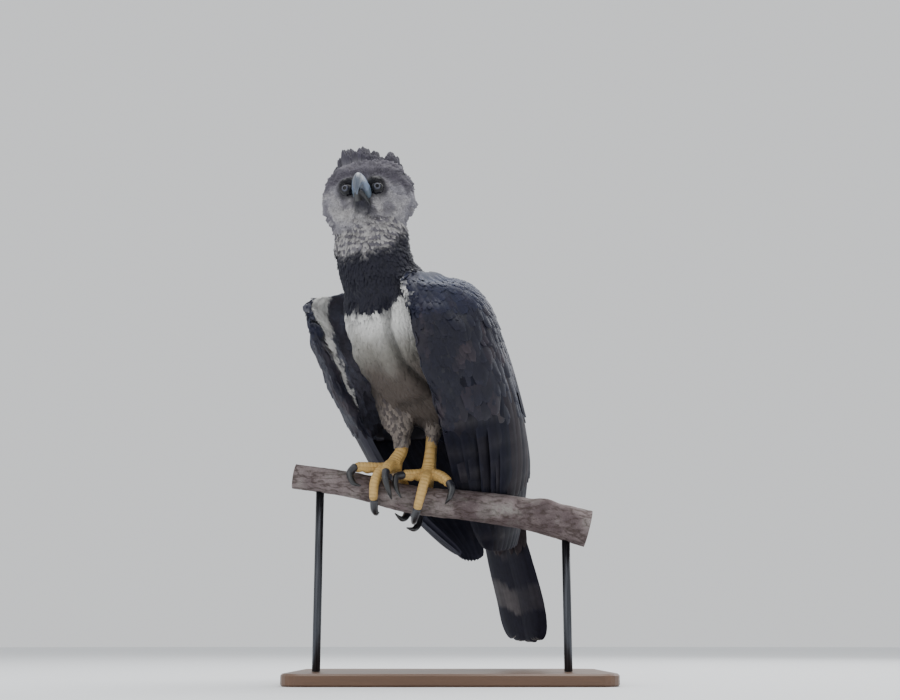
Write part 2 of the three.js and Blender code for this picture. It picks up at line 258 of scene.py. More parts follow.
# Meshes
@dataclass
class Shell:
    """A surface as plain arrays, with one value for each vertex in each layer."""

    points: Array
    quads: Array = field(default_factory=lambda: np.zeros((0, 4), int))
    triangles: Array = field(default_factory=lambda: np.zeros((0, 3), int))
    colours: Array | None = None
    vane: Array | None = None
    patch: Array | None = None
    rim: Array | None = None

    def __add__(self, other: "Shell") -> "Shell":
        """Joins two surfaces into one, with the layers that both have.

        Args:
            other: The surface to join on.

        Returns:
            The joined surface.
        """
        shift = len(self.points)
        layers = {}
        for name in ("colours", "vane", "patch", "rim"):
            a, b = getattr(self, name), getattr(other, name)
            layers[name] = None if a is None or b is None else np.concatenate([a, b])
        return Shell(
            np.concatenate([self.points, other.points]),
            np.concatenate([self.quads, other.quads + shift]),
            np.concatenate([self.triangles, other.triangles + shift]),
            **layers,
        )

    def mesh(self, name: str) -> bpy.types.Mesh:
        """Makes a Blender mesh with smooth faces and sharp rims.

        Args:
            name: The mesh's name.

        Returns:
            The new mesh.
        """
        made = bpy.data.meshes.new(name)
        loops = np.concatenate([self.quads.ravel(), self.triangles.ravel()])
        sizes = np.concatenate([np.full(len(self.quads), 4), np.full(len(self.triangles), 3)])
        starts = np.concatenate([[0], np.cumsum(sizes)[:-1]])
        made.vertices.add(len(self.points))
        made.vertices.foreach_set("co", self.points.astype(np.float32).ravel())
        made.loops.add(len(loops))
        made.loops.foreach_set("vertex_index", loops.astype(np.int32))
        made.polygons.add(len(sizes))
        made.polygons.foreach_set("loop_start", starts.astype(np.int32))
        made.update(calc_edges=True)
        made.polygons.foreach_set("use_smooth", np.ones(len(sizes), bool))
        if self.colours is not None:
            layer = made.color_attributes.new(COLOUR_LAYER, "FLOAT_COLOR", "POINT")
            full = np.concatenate([self.colours, np.ones((len(self.points), 1))], axis=1)
            layer.data.foreach_set("color", full.astype(np.float32).ravel())
        for title, values in ((BAKE_LAYER, self.patch), (VANE_LAYER, self.vane)):
            if values is not None:
                layer = made.uv_layers.new(name=title)
                layer.data.foreach_set("uv", values[loops].astype(np.float32).ravel())
        if self.rim is not None:
            ends = np.zeros(len(made.edges) * 2, np.int32)
            made.edges.foreach_get("vertices", ends)
            sharp = self.rim[ends.reshape(-1, 2)].all(axis=1)
            layer = made.attributes.new("sharp_edge", "BOOLEAN", "EDGE")
            layer.data.foreach_set("value", sharp)
        made.update()
        return made


def tube_faces(count: int, sides: int) -> tuple[Array, Array]:
    """Gives the faces of a tube and of the fans that close it.

    Args:
        count: Rings of the tube.
        sides: Points round each ring. The two poles follow the last ring.

    Returns:
        Quads and triangles.
    """
    i, j = np.meshgrid(np.arange(count - 1), np.arange(sides), indexing="ij")
    after = (j + 1) % sides
    quads = np.stack([i * sides + j, i * sides + after, (i + 1) * sides + after, (i + 1) * sides + j], -1)
    ring, end = np.arange(sides), (count - 1) * sides
    following = (ring + 1) % sides
    pole = np.full(sides, count * sides)
    triangles = np.concatenate([
        np.stack([pole, following, ring], -1),
        np.stack([pole + 1, end + ring, end + following], -1),
    ])
    return quads.reshape(-1, 4), triangles


def lofted(rings: Array, closed: bool = True) -> Shell:
    """Joins rings of equally many points with a pole at each end.

    Args:
        rings: Points by ring and place in the ring.
        closed: Whether the ends get poles.

    Returns:
        The surface.
    """
    quads, triangles = tube_faces(*rings.shape[:2])
    points = rings.reshape(-1, 3)
    if not closed:
        return Shell(points, quads)
    poles = [rings[0].mean(0), rings[-1].mean(0)]
    return Shell(np.concatenate([points, poles]), quads, triangles)


def joined(shells: Iterable[Shell]) -> Shell:
    """Joins several surfaces into one."""
    return reduce(Shell.__add__, shells)


@dataclass(frozen=True)
class Limb:
    """A body of oval section along a smooth line, as the solids have it.

    Each station is x, y, z, half width, front depth and back depth, in millimetres.
    """

    stations: Sequence[Sequence[float]]
    matrix: Array
    side: Sequence[float] = (1, 0, 0)
    square: float = 1.0
    dome: float = 0.5
    ridge: float = 0.0
    shrink: float = 0.0

    def frames(self, t: Array) -> tuple[Array, Array, Array, Array]:
        """Gives the rows, the direction along, the side and the front at places on the line.

        Args:
            t: Places from 0 to 1.

        Returns:
            Four arrays with one row for each place.
        """
        rows = along(self.stations, t)
        way = unit(along(self.stations, t + 0.02)[..., :3] - along(self.stations, t - 0.02)[..., :3])
        side = np.broadcast_to(np.asarray(self.side, float), way.shape)
        across = unit(side - way * dot(way, side))
        return rows, way, across, np.cross(way, across)

    def ring(self, t: Array, turn: Array, scale: Array, shift: Array) -> Array:
        """Gives the points of rings at places t, scaled and shifted along the line.

        Args:
            t: Each ring's place on the line.
            turn: Angles round a ring.
            scale: Each ring's size, as a share.
            shift: How far each ring moves along, in radii.

        Returns:
            Points by ring and place in the ring.
        """
        rows, way, across, depth = self.frames(t)
        c, s = (np.sign(v) * np.abs(v) ** self.square for v in (np.cos(turn), np.sin(turn)))
        wide, front, back = (np.maximum(rows[:, k] - self.shrink, 0.6) for k in (3, 4, 5))
        centre = rows[:, :3] + way * (shift * np.minimum(wide, front))[:, None]
        w = wide[:, None] * scale[:, None] * (1 - self.ridge * np.maximum(s, 0))
        d = np.where(s > 0, front[:, None], back[:, None]) * scale[:, None]
        return centre[:, None] + across[:, None] * (c * w)[..., None] + depth[:, None] * (s * d)[..., None]

    def shell(self, steps: int, sides: int) -> Shell:
        """Makes the closed surface in the scene.

        Args:
            steps: Rings along the line.
            sides: Points round it.

        Returns:
            The surface, in metres.
        """
        bend = np.linspace(0.12, math.pi / 2, 5)[:-1]
        grown, sunk = np.sin(bend), -self.dome * (1 - 0.12) * np.cos(bend)
        whole = np.ones(steps + 1)
        t = np.concatenate([0 * bend, np.linspace(0, 1, steps + 1), 0 * bend + 1])
        scale = np.concatenate([grown, whole, grown[::-1]])
        shift = np.concatenate([sunk, 0 * whole, -sunk[::-1]])
        turn = np.linspace(0, 2 * math.pi, sides, endpoint=False)
        return lofted(placed(self.matrix, self.ring(t, turn, scale, shift)))


@dataclass(frozen=True)
class Blade:
    """A curved blade between two edges, as the wings and the tail have it.

    Each station is the front edge's x, y, z, the rear edge's x, y, z, the bulge and the
    thickness, in millimetres. The outer face lies where the chord crosses the blade's length,
    or opposite where out is -1.
    """

    stations: Sequence[Sequence[float]]
    matrix: Array
    out: float
    full: float
    edge: float

    def outer(self, u: Array, v: Array) -> Array:
        """Gives points of the outer face, in metres.

        Args:
            u: From 0, the front edge, to 1, the rear edge; a little more or less goes past it.
            v: From 0, the top, to 1, the tips.

        Returns:
            One point for each pair.
        """
        rows = along(self.stations, v)
        front, rear = rows[..., :3], rows[..., 3:6]
        ahead, behind = along(self.stations, v + 0.03), along(self.stations, v - 0.03)
        way = ahead[..., :3] + ahead[..., 3:6] - behind[..., :3] - behind[..., 3:6]
        normal = unit(np.cross(rear - front, way)) * self.out
        inside = np.clip(u, 1e-6, 1 - 1e-6)
        swell = rows[..., 6] * np.sin(np.pi * inside ** 0.8) ** self.full
        return placed(self.matrix, front + (rear - front) * u[..., None] + normal * swell[..., None])

    def thickness(self, u: Array, v: Array) -> Array:
        """Gives the solid's thickness at points of the outer face, in metres.

        Args:
            u: Places from the front edge to the rear one.
            v: Places from the top to the tips.

        Returns:
            One thickness for each pair.
        """
        thick = along(self.stations, v)[..., 7]
        blunt = np.minimum(1, np.sqrt((np.clip(u, 0, 1) + 0.02) / 0.14))
        return np.maximum(thick * (1 + (self.edge - 1) * np.clip(u, 0, 1)) * blunt, 1) * MM

    def sheet(self, u: Array, v: Array) -> tuple[Array, Array, Array, Array]:
        """Gives points, outward normals and the steps per unit of u and v.

        Args:
            u: Places from the front edge to the rear one.
            v: Places from the top to the tips.

        Returns:
            Four arrays with one row for each pair.
        """
        inside, h = np.clip(u, 0.007, 0.99), 0.006
        du = (self.outer(inside + h, v) - self.outer(inside - h, v)) / (2 * h)
        dv = (self.outer(inside, v + h) - self.outer(inside, v - h)) / (2 * h)
        normal = unit(np.cross(du, dv)) * self.out
        return self.outer(u, v), normal, du, dv


def by_arc(blade: Blade, share: Array) -> Array:
    """Gives u at shares of the arc from the front edge to the rear one, half way down the blade.

    Args:
        blade: The blade.
        share: Shares of the arc, from 0 to 1.

    Returns:
        One u for each share.
    """
    u = np.linspace(0, 1, 240) ** 2
    line = blade.outer(u, np.full(240, 0.5))
    arc = np.concatenate([[0], np.cumsum(np.linalg.norm(np.diff(line, axis=0), axis=1))])
    return np.interp(share, arc / arc[-1], u)


def union(shells: Sequence[Shell], voxel: float) -> tuple[Array, Array]:
    """Joins closed surfaces into one skin by a voxel remesh.

    Args:
        shells: The surfaces, which may overlap.
        voxel: Size of a face of the new skin, in metres.

    Returns:
        The skin's points and its four-cornered faces.
    """
    holder = bpy.data.objects.new("union_holder", joined(shells).mesh("union_holder"))
    bpy.context.scene.collection.objects.link(holder)
    remesh = holder.modifiers.new("voxels", "REMESH")
    remesh.mode, remesh.voxel_size, remesh.use_smooth_shade = "VOXEL", voxel, True
    made = holder.evaluated_get(bpy.context.evaluated_depsgraph_get()).to_mesh()
    points = np.zeros(len(made.vertices) * 3, np.float32)
    made.vertices.foreach_get("co", points)
    corners = np.zeros(len(made.loops), np.int32)
    made.loops.foreach_get("vertex_index", corners)
    holder.to_mesh_clear()
    mesh = holder.data
    bpy.data.objects.remove(holder)
    bpy.data.meshes.remove(mesh)
    return points.reshape(-1, 3).astype(float), corners.reshape(-1, 4).astype(int)


def relaxed(points: Array, quads: Array, rounds: int, share: float = 0.5) -> Array:
    """Smooths a surface by moving each point towards its neighbours.

    Args:
        points: The surface's points.
        quads: Its faces.
        rounds: How many times.
        share: How far each time.

    Returns:
        The moved points.
    """
    edges = np.concatenate([quads[:, [k, (k + 1) % 4]] for k in range(4)])
    ends, others = np.concatenate([edges, edges[:, ::-1]]).T
    count = np.bincount(ends, minlength=len(points))[:, None]
    for _ in range(rounds):
        total = np.stack([np.bincount(ends, points[others, k], len(points)) for k in range(3)], 1)
        points = points + share * (total / np.maximum(count, 1) - points)
    return points


def normals_of(points: Array, quads: Array) -> Array:
    """Gives a smooth normal for each point of a surface.

    Args:
        points: The surface's points.
        quads: Its faces.

    Returns:
        One normal for each point.
    """
    a, b, c, d = (points[quads[:, k]] for k in range(4))
    face = np.cross(c - a, d - b)
    total = np.zeros_like(points)
    for k in range(4):
        for axis in range(3):
            total[:, axis] += np.bincount(quads[:, k], face[:, axis], len(points))
    return unit(total)


def weld(mesh: bpy.types.Mesh) -> None:
    """Merges a mesh's points that meet and turns its faces outwards.

    Args:
        mesh: The mesh to change.
    """
    work = bmesh.new()
    work.from_mesh(mesh)
    bmesh.ops.remove_doubles(work, verts=work.verts, dist=1e-6)
    bmesh.ops.recalc_face_normals(work, faces=work.faces)
    work.to_mesh(mesh)
    work.free()


def show(name: str, shell: Shell, finish: bpy.types.Material,
         welded: bool = False) -> bpy.types.Object:
    """Puts a surface in the scene as a piece that rides on the one body.

    Args:
        name: The piece's name.
        shell: Its surface.
        finish: Its material.
        welded: Whether points that meet are merged.

    Returns:
        The new object.
    """
    mesh = shell.mesh(name)
    if welded:
        weld(mesh)
    piece = bpy.data.objects.new(name, mesh)
    bpy.context.scene.collection.objects.link(piece)
    mesh.materials.append(finish)
    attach(piece, "root")
    LOG.info("%s: %d triangles", name, len(mesh.loops) - 2 * len(mesh.polygons))
    return piece


# Finishes
def add(tree: Tree, kind: str, into: Inputs | None = None, **settings: object) -> bpy.types.Node:
    """Adds a node with its settings and links.

    Args:
        tree: The material's node tree.
        kind: The node's type.
        into: Inputs by name or number: a value, an output, or a node for its first output.
        settings: The node's own properties; stops gives a ramp's places and colours.

    Returns:
        The new node.
    """
    node = tree.nodes.new(kind)
    stops = settings.pop("stops", ())
    for key, value in settings.items():
        setattr(node, key, value)
    for key, value in (into or {}).items():
        source = value.outputs[0] if isinstance(value, bpy.types.Node) else value
        if isinstance(source, Socket):
            tree.links.new(source, node.inputs[key])
        else:
            node.inputs[key].default_value = source
    if stops:
        for element, (place, colour) in zip(node.color_ramp.elements, stops):
            element.position, element.color = place, colour
    return node


def marked(tree: Tree, *shares: bpy.types.Node) -> bpy.types.Node:
    """Adds the colour layer's markings, made lighter and darker by all the shares.

    Args:
        tree: The material's node tree.
        shares: Nodes whose first outputs multiply the markings.

    Returns:
        The node that gives the colour.
    """
    marking = add(tree, "ShaderNodeVertexColor", layer_name=COLOUR_LAYER)
    share = shares[0]
    for other in shares[1:]:
        share = add(tree, "ShaderNodeMath", {0: share, 1: other}, operation="MULTIPLY")
    return add(tree, "ShaderNodeVectorMath", {0: marking, "Scale": share}, operation="SCALE")


@dataclass(frozen=True)
class Finish:
    """A real stuff's look: nodes that end in one shader."""

    name: str

    def material(self) -> bpy.types.Material:
        """Makes the material from the inputs that surface gives.

        Returns:
            The new material.
        """
        made = bpy.data.materials.new(self.name)
        made.use_nodes = True
        tree = made.node_tree
        tree.nodes.clear()
        place = add(tree, "ShaderNodeTexCoord").outputs["Object"]
        shader = add(tree, "ShaderNodeBsdfPrincipled", self.surface(tree, place))
        add(tree, "ShaderNodeOutputMaterial", {"Surface": shader})
        return made

    def surface(self, tree: Tree, place: Socket) -> Inputs:
        """Adds the nodes before the shader.

        Args:
            tree: The material's node tree.
            place: Positions on the piece.

        Returns:
            The shader's inputs by name.
        """
        raise NotImplementedError


@dataclass(frozen=True)
class FeatherFinish(Finish):
    """Keratin barbs hooked into a vane: matt, with a soft sheen across the barbs."""

    roughness: float
    sheen: float
    sheen_tint: str
    mottle: float = 0.16
    barb_depth: float = 0.12
    gloss: float = 0.3

    def surface(self, tree: Tree, place: Socket) -> Inputs:
        """Lays wear and the lines of the barbs over the markings."""
        # Uneven wear and dust over a few feathers, about 12 mm across.
        wear = add(tree, "ShaderNodeTexNoise", {"Vector": place, "Scale": 85.0, "Detail": 4.0})
        low, high = 1 - self.mottle, 1 + self.mottle
        shade = add(tree, "ShaderNodeMapRange", {0: wear, 1: 0.3, 2: 0.7, 3: low, 4: high})
        # Barbs slant from the shaft; real ones are 0.4 mm apart and are drawn about twice as coarse.
        vane = add(tree, "ShaderNodeUVMap", uv_map=VANE_LAYER)
        spread = {"Vector": vane, "Scale": 9.0, "Distortion": 2.5, "Detail": 2.0, "Detail Scale": 1.6}
        barbs = add(tree, "ShaderNodeTexWave", spread, wave_type="BANDS", bands_direction="DIAGONAL")
        height = barbs.outputs[1]
        line = add(tree, "ShaderNodeMapRange", {0: height, 1: 0.0, 2: 1.0, 3: 0.9, 4: 1.06})
        bumps = {"Height": height, "Strength": self.barb_depth, "Distance": 0.0006}
        relief = add(tree, "ShaderNodeBump", bumps)
        return {
            "Base Color": marked(tree, shade, line), "Roughness": self.roughness, "IOR": 1.54,
            "Specular IOR Level": self.gloss, "Sheen Weight": self.sheen, "Sheen Roughness": 0.45,
            "Sheen Tint": rgba(self.sheen_tint), "Normal": relief,
        }


@dataclass(frozen=True)
class SkinFinish(Finish):
    """Soft skin under the coat and horny scaled skin on the feet, both dull."""

    name: str = "bird_skin_soft_and_scaled"

    def surface(self, tree: Tree, place: Socket) -> Inputs:
        """Lays stains over the markings, and small round scales as relief."""
        # Net-like scales, about 2.2 mm across.
        spread = {"Vector": place, "Scale": 450.0}
        scales = add(tree, "ShaderNodeTexVoronoi", spread, feature="DISTANCE_TO_EDGE")
        furrow = add(tree, "ShaderNodeMapRange", {0: scales, 1: 0.0, 2: 0.18, 3: 0.62, 4: 1.05})
        stain = add(tree, "ShaderNodeTexNoise", {"Vector": place, "Scale": 120.0, "Detail": 5.0})
        tone = add(tree, "ShaderNodeMapRange", {0: stain, 1: 0.3, 2: 0.7, 3: 0.82, 4: 1.1})
        relief = add(tree, "ShaderNodeBump", {"Height": furrow, "Strength": 0.5, "Distance": 0.0007})
        return {"Base Color": marked(tree, furrow, tone), "Roughness": 0.6, "IOR": 1.5, "Normal": relief}


@dataclass(frozen=True)
class HornFinish(Finish):
    """Keratin of the bill, the claws and the foot scutes, grown in thin layers and worn smooth."""

    roughness: float
    streaks: float
    coat: float = 0.0
    contrast: float = 0.12

    def surface(self, tree: Tree, place: Socket) -> Inputs:
        """Lays growth streaks over the markings, with a faint gloss."""
        spread = {"Vector": place, "Scale": self.streaks, "Detail": 6.0, "Roughness": 0.6}
        grown = add(tree, "ShaderNodeTexNoise", spread)
        low, high = 1 - self.contrast, 1 + self.contrast
        tone = add(tree, "ShaderNodeMapRange", {0: grown, 1: 0.3, 2: 0.7, 3: low, 4: high})
        low, high = self.roughness - 0.06, self.roughness + 0.1
        worn = add(tree, "ShaderNodeMapRange", {0: grown, 1: 0.3, 2: 0.7, 3: low, 4: high})
        relief = add(tree, "ShaderNodeBump", {"Height": grown, "Strength": 0.12, "Distance": 0.0005})
        return {"Base Color": marked(tree, tone), "Roughness": worn, "IOR": 1.54,
                "Coat Weight": self.coat, "Coat Roughness": 0.2, "Normal": relief}


@dataclass(frozen=True)
class EyeFinish(Finish):
    """A wet eye: black pupil, grey iris with fine spokes, dark edge, under a clear gloss."""

    name: str = "wet_eye"

    def surface(self, tree: Tree, place: Socket) -> Inputs:
        """Lays fine flecks over the painted iris, under a glossy coat."""
        fleck = add(tree, "ShaderNodeTexNoise", {"Vector": place, "Scale": 900.0, "Detail": 3.0})
        tone = add(tree, "ShaderNodeMapRange", {0: fleck, 1: 0.3, 2: 0.7, 3: 0.8, 4: 1.2})
        return {"Base Color": marked(tree, tone), "Roughness": 0.1, "IOR": 1.376,
                "Specular IOR Level": 0.3, "Coat Weight": 0.15, "Coat Roughness": 0.03}


@dataclass(frozen=True)
class BarkFinish(Finish):
    """Dry bark: thin grey-brown scales over fissures, with pale lichen crusts."""

    name: str = "dry_bark"

    def surface(self, tree: Tree, place: Socket) -> Inputs:
        """Lays fine cracks and dusty grain over the markings."""
        # Cracks run along the branch, so the pattern is drawn out along it.
        drawn = add(tree, "ShaderNodeMapping", {"Vector": place, "Scale": (0.35, 1.0, 1.0)})
        spread = {"Vector": drawn, "Scale": 300.0}
        cracks = add(tree, "ShaderNodeTexVoronoi", spread, feature="DISTANCE_TO_EDGE")
        spread = {"Vector": place, "Scale": 420.0, "Detail": 6.0, "Roughness": 0.65}
        grain = add(tree, "ShaderNodeTexNoise", spread)
        crack = add(tree, "ShaderNodeMapRange", {0: cracks, 1: 0.0, 2: 0.08, 3: 0.86, 4: 1.0})
        dust = add(tree, "ShaderNodeMapRange", {0: grain, 1: 0.3, 2: 0.7, 3: 0.78, 4: 1.2})
        height = add(tree, "ShaderNodeMath", {0: crack, 1: grain}, operation="ADD")
        relief = add(tree, "ShaderNodeBump", {"Height": height, "Strength": 0.55, "Distance": 0.0012})
        return {"Base Color": marked(tree, crack, dust), "Roughness": 0.88, "IOR": 1.45,
                "Specular IOR Level": 0.25, "Normal": relief}


@dataclass(frozen=True)
class BoardFinish(Finish):
    """Oiled walnut board: straight grain with dark vessels and a low, even gloss."""

    name: str = "oiled_walnut"
    light: str = "#6b4d37"
    dark: str = "#523a2a"

    def surface(self, tree: Tree, place: Socket) -> Inputs:
        """Draws uneven growth bands along the board, and fine dark vessels."""
        sawn = add(tree, "ShaderNodeMapping", {"Vector": place, "Scale": (1.6, 34.0, 16.0)})
        spread = {"Vector": sawn, "Scale": 1.6, "Detail": 3.0, "Distortion": 0.9}
        bands = add(tree, "ShaderNodeTexNoise", spread)
        fine = add(tree, "ShaderNodeMapping", {"Vector": place, "Scale": (12.0, 900.0, 500.0)})
        pores = add(tree, "ShaderNodeTexNoise", {"Vector": fine, "Scale": 1.0, "Detail": 5.0})
        mixed = add(tree, "ShaderNodeMix", {0: 0.4, 2: bands, 3: pores})
        stops = [(0.25, rgba(self.dark)), (0.75, rgba(self.light))]
        colour = add(tree, "ShaderNodeValToRGB", {0: mixed}, stops=stops)
        relief = add(tree, "ShaderNodeBump", {"Height": pores, "Strength": 0.12, "Distance": 0.0004})
        return {"Base Color": colour, "Roughness": 0.42, "IOR": 1.5, "Coat Weight": 0.15,
                "Coat Roughness": 0.3, "Normal": relief}


@dataclass(frozen=True)
class SteelFinish(Finish):
    """Blackened mild steel rod: drawn lengthwise, with a thin dark oxide."""

    name: str = "blackened_steel"

    def surface(self, tree: Tree, place: Socket) -> Inputs:
        """Makes a dark metal with fine draw marks along the rod."""
        drawn = add(tree, "ShaderNodeMapping", {"Vector": place, "Scale": (900.0, 900.0, 14.0)})
        marks = add(tree, "ShaderNodeTexNoise", {"Vector": drawn, "Scale": 1.0, "Detail": 4.0})
        worn = add(tree, "ShaderNodeMapRange", {0: marks, 1: 0.3, 2: 0.7, 3: 0.28, 4: 0.46})
        stops = [(0.3, rgba("#3b3d42")), (0.7, rgba("#56585d"))]
        colour = add(tree, "ShaderNodeValToRGB", {0: marks}, stops=stops)
        return {"Base Color": colour, "Metallic": 1.0, "Roughness": worn}


@dataclass(frozen=True)
class FloorFinish(Finish):
    """Matt painted studio floor, pale and even."""

    name: str = "painted_studio_floor"
    colour: str = "#e6e8ea"

    def surface(self, tree: Tree, place: Socket) -> Inputs:
        """Makes flat paint with a faint unevenness."""
        uneven = add(tree, "ShaderNodeTexNoise", {"Vector": place, "Scale": 3.0, "Detail": 2.0})
        worn = add(tree, "ShaderNodeMapRange", {0: uneven, 3: 0.7, 4: 0.85})
        return {"Base Color": rgba(self.colour), "Roughness": worn, "Specular IOR Level": 0.2}


# Shapes of the solids, in millimetres, in the frames above
TRUNK = [
    [0, -84, 342, 72, 54, 66], [2, -80, 300, 90, 64, 84], [9, -60, 250, 97, 74, 86],
    [12, -12, 200, 98, 78, 86], [14, 48, 158, 88, 70, 78], [14, 112, 122, 70, 52, 58],
    [10, 172, 94, 46, 34, 38],
]
NECK = [
    [2, -90, 318, 71, 56, 66], [-8, -102, 362, 72, 57, 61], [-13, -110, 404, 71, 54, 57],
    [-14, -114, 440, 72, 50, 56],
]
SKULL = [
    [0, 62, 4, 36, 30, 34], [0, 42, 4, 64, 56, 56], [0, 14, 2, 81, 70, 66],
    [0, -12, -2, 80, 66, 64], [0, -31, -5, 66, 52, 56], [0, -44, -9, 46, 38, 44],
]
THIGHS = {
    "left": [[52, 16, 205, 48, 50, 50], [44, 16, 160, 40, 42, 44], [37, 20, 112, 25, 28, 30],
             [33, 16, 76, 16, 17, 20], [31, 12, 54, 13, 13, 15]],
    "right": [[-22, 30, 205, 54, 50, 50], [-30, 18, 155, 46, 42, 44], [-26, 16, 108, 31, 30, 32],
              [-20, 14, 74, 19, 18, 21], [-19, 12, 52, 14, 14, 16]],
}
SHANKS = {
    "left": [[33, 22, 92, 11], [31, 12, 52, 11], [28, 3, 22, 12.5], [27, -1, 8, 16]],
    "right": [[-18, 24, 92, 11], [-20, 12, 52, 11.5], [-29, 4, 32, 13], [-34, -1, 19, 16.5]],
}
TOE_RADIUS = [10.2, 9.4, 9, 8]
CLAW_RADIUS = [7.2, 6.4, 4.6, 1.1]
TOES = {
    "left": {
        "inner": [[24, -4, 6], [8, -12, 4], [-6, -17, 3], [-15, -21, 3]],
        "middle": [[26, -8, 4], [22, -29, -6], [16, -37, -28], [9, -33, -54]],
        "outer": [[32, -6, 4], [43, -14, 3], [53, -21, -3], [61, -27, -10]],
        "hind": [[28, 8, 4], [26, 30, -10], [19, 38, -30], [11, 35, -50]],
    },
    "right": {
        "inner": [[-34, -6, 18], [-38, -20, 20], [-42, -31, 16], [-45, -39, 9]],
        "middle": [[-38, -6, 16], [-54, -27, 8], [-64, -35, -12], [-66, -32, -38]],
        "outer": [[-42, -6, 16], [-62, -14, 15], [-80, -18, 16], [-96, -20, 17]],
        "hind": [[-32, 8, 16], [-22, 32, 2], [-12, 38, -20], [-8, 33, -40]],
    },
}
CLAWS = {
    "left": {
        "inner": [[-17, -23, 2], [-28, -31, -3], [-28, -37, -20], [-19, -35, -38]],
        "middle": [[8, -31, -58], [4, -22, -71], [2, -12, -77], [0, -5, -75]],
        "outer": [[63, -29, -12], [67, -36, -23], [63, -39, -38], [56, -34, -48]],
        "hind": [[11, 33, -56], [9, 24, -76], [2, 11, -87], [-10, -3, -86]],
    },
    "right": {
        "inner": [[-45, -42, 6], [-45, -49, -8], [-40, -47, -26], [-35, -39, -41]],
        "middle": [[-65, -29, -43], [-65, -21, -56], [-62, -12, -62], [-58, -6, -60]],
        "outer": [[-99, -22, 16], [-107, -28, 4], [-101, -32, -12], [-88, -31, -17]],
        "hind": [[-8, 31, -46], [-12, 21, -63], [-19, 6, -70], [-30, -6, -62]],
    },
}
WINGS = {
    "left": [
        [74, -106, 338, 88, -40, 350, 16, 18], [66, -124, 312, 80, 16, 346, 62, 32],
        [80, -124, 260, 68, 82, 304, 92, 54], [92, -116, 200, 60, 136, 240, 96, 52],
        [97, -92, 134, 58, 178, 178, 94, 46], [91, -52, 66, 62, 210, 108, 90, 38],
        [85, 4, -4, 72, 232, 40, 70, 28], [76, 74, -66, 80, 228, -34, 36, 18],
        [62, 140, -120, 72, 216, -112, 10, 8],
    ],
    "right": [
        [-138, -108, 322, -100, -50, 340, 16, 18], [-136, -122, 304, -82, -2, 336, 56, 32],
        [-112, -124, 258, -68, 62, 294, 98, 50], [-88, -108, 198, -58, 112, 234, 102, 52],
        [-76, -80, 138, -50, 152, 172, 100, 46], [-70, -32, 74, -44, 184, 104, 92, 38],
        [-64, 26, 6, -38, 202, 36, 80, 28], [-36, 78, -66, -24, 208, -44, 30, 18],
        [8, 134, -126, 4, 208, -136, 8, 8],
    ],
}
TAIL = [
    [44, 168, 106, -30, 176, 106, 8, 24], [60, 206, 30, -38, 214, 30, 9, 16],
    [78, 240, -52, -44, 254, -52, 9, 12], [84, 274, -134, -46, 290, -134, 9, 9],
    [84, 300, -200, -40, 316, -200, 8, 7], [74, 318, -246, -34, 332, -246, 6, 6],
    [52, 330, -279, -16, 340, -276, 2, 4],
]
EYE_PLACE = (25.5, -51.0, 0.0)
EYE_RADIUS = 11.7
BILL_UPPER = [
    [0, -44, -5, 17, 16, 13], [0, -60, -4, 15.5, 17, 13], [0, -77, -4, 12.5, 15, 15],
    [0, -90, -12, 8.5, 11, 14], [0, -94, -26, 5, 6, 8], [0, -89, -39, 1.6, 1.8, 2.5],
]
BILL_LOWER = [
    [0, -42, -24, 15, 7, 9], [0, -56, -24, 12, 6, 8], [0, -70, -24, 8.5, 5, 6], [0, -79, -24, 4, 3, 4],
]
BRANCH = [
    [-205, 0, 3, 21.5], [-105, 0, -13, 22.5], [0, 0, -37, 24.5], [100, 0, -49, 26], [200, 0, -62, 28],
    [300, 0, -88, 32],
]
KNOT_PLACE = (222, -14, -62)
PAD_PLACES = (0.3, 0.62, 0.92)
SOCKET_RADIUS, SOCKET_REACH = 0.0095, 0.024
ROD_PLACES = (-160, 262)
ROD_RADIUS = 7.0
BOARD_THICK = 20.3

WING_BLADES = {
    side: Blade(rows, BODY_FRAME, -1.0 if side == "left" else 1.0, 0.65, 0.5)
    for side, rows in WINGS.items()
}
TAIL_BLADE = Blade(TAIL, BODY_FRAME, 1.0, 1.0, 1.0)


def side_of(points: Sequence[Sequence[float]]) -> Array:
    """Gives the side direction of a toe or claw from its row of points."""
    way = np.asarray(points[3], float) - np.asarray(points[0], float)
    return np.cross(way, (1, 0, 0) if abs(way[1]) > abs(way[0]) else (0, 1, 0))


def round_rows(points: Sequence[Sequence[float]], radii: Sequence[float] | None = None) -> list[list[float]]:
    """Gives stations of round section.

    Args:
        points: Points, or points and radii where radii isn't given.
        radii: One radius for each point.

    Returns:
        The stations.
    """
    rows = points if radii is None else [[*p, r] for p, r in zip(points, radii)]
    return [[*row, row[3], row[3]] for row in rows]


def branch_at(x: Array) -> Array:
    """Gives the branch's middle and radius at places along X."""
    low, high = BRANCH[0][0], BRANCH[-1][0]
    return along(BRANCH, (x - low) / (high - low))


def eye_centre(sign: int) -> Array:
    """Gives an eye's middle in the face's frame; sign is 1 for the left eye and -1 for the right."""
    return np.array(EYE_PLACE) * [sign, 1, 1]


def behind_perch(points: Array) -> Array:
    """Moves plumage that meets the branch back behind it.

    Args:
        points: Positions in the scene, in metres.

    Returns:
        The same positions, with those in or before the branch moved along Y.
    """
    q = seen_from(PERCH_FRAME, points)
    axis = branch_at(q[..., 0])
    reach = axis[..., 3] + 4.0
    height = q[..., 2] - axis[..., 2]
    inside = np.sqrt(np.maximum(reach ** 2 - height ** 2, 0))
    above = -0.9 * np.maximum(height - reach, 0)
    below = -0.8 * np.maximum(-height - reach, 0)
    least = np.where(np.abs(height) < reach, inside, above + below)
    near = (height < reach + 75) & (height > -reach - 60)
    back = np.where(near, np.maximum(least - q[..., 1], 0), 0)
    return points + back[..., None] * [0, MM, 0]


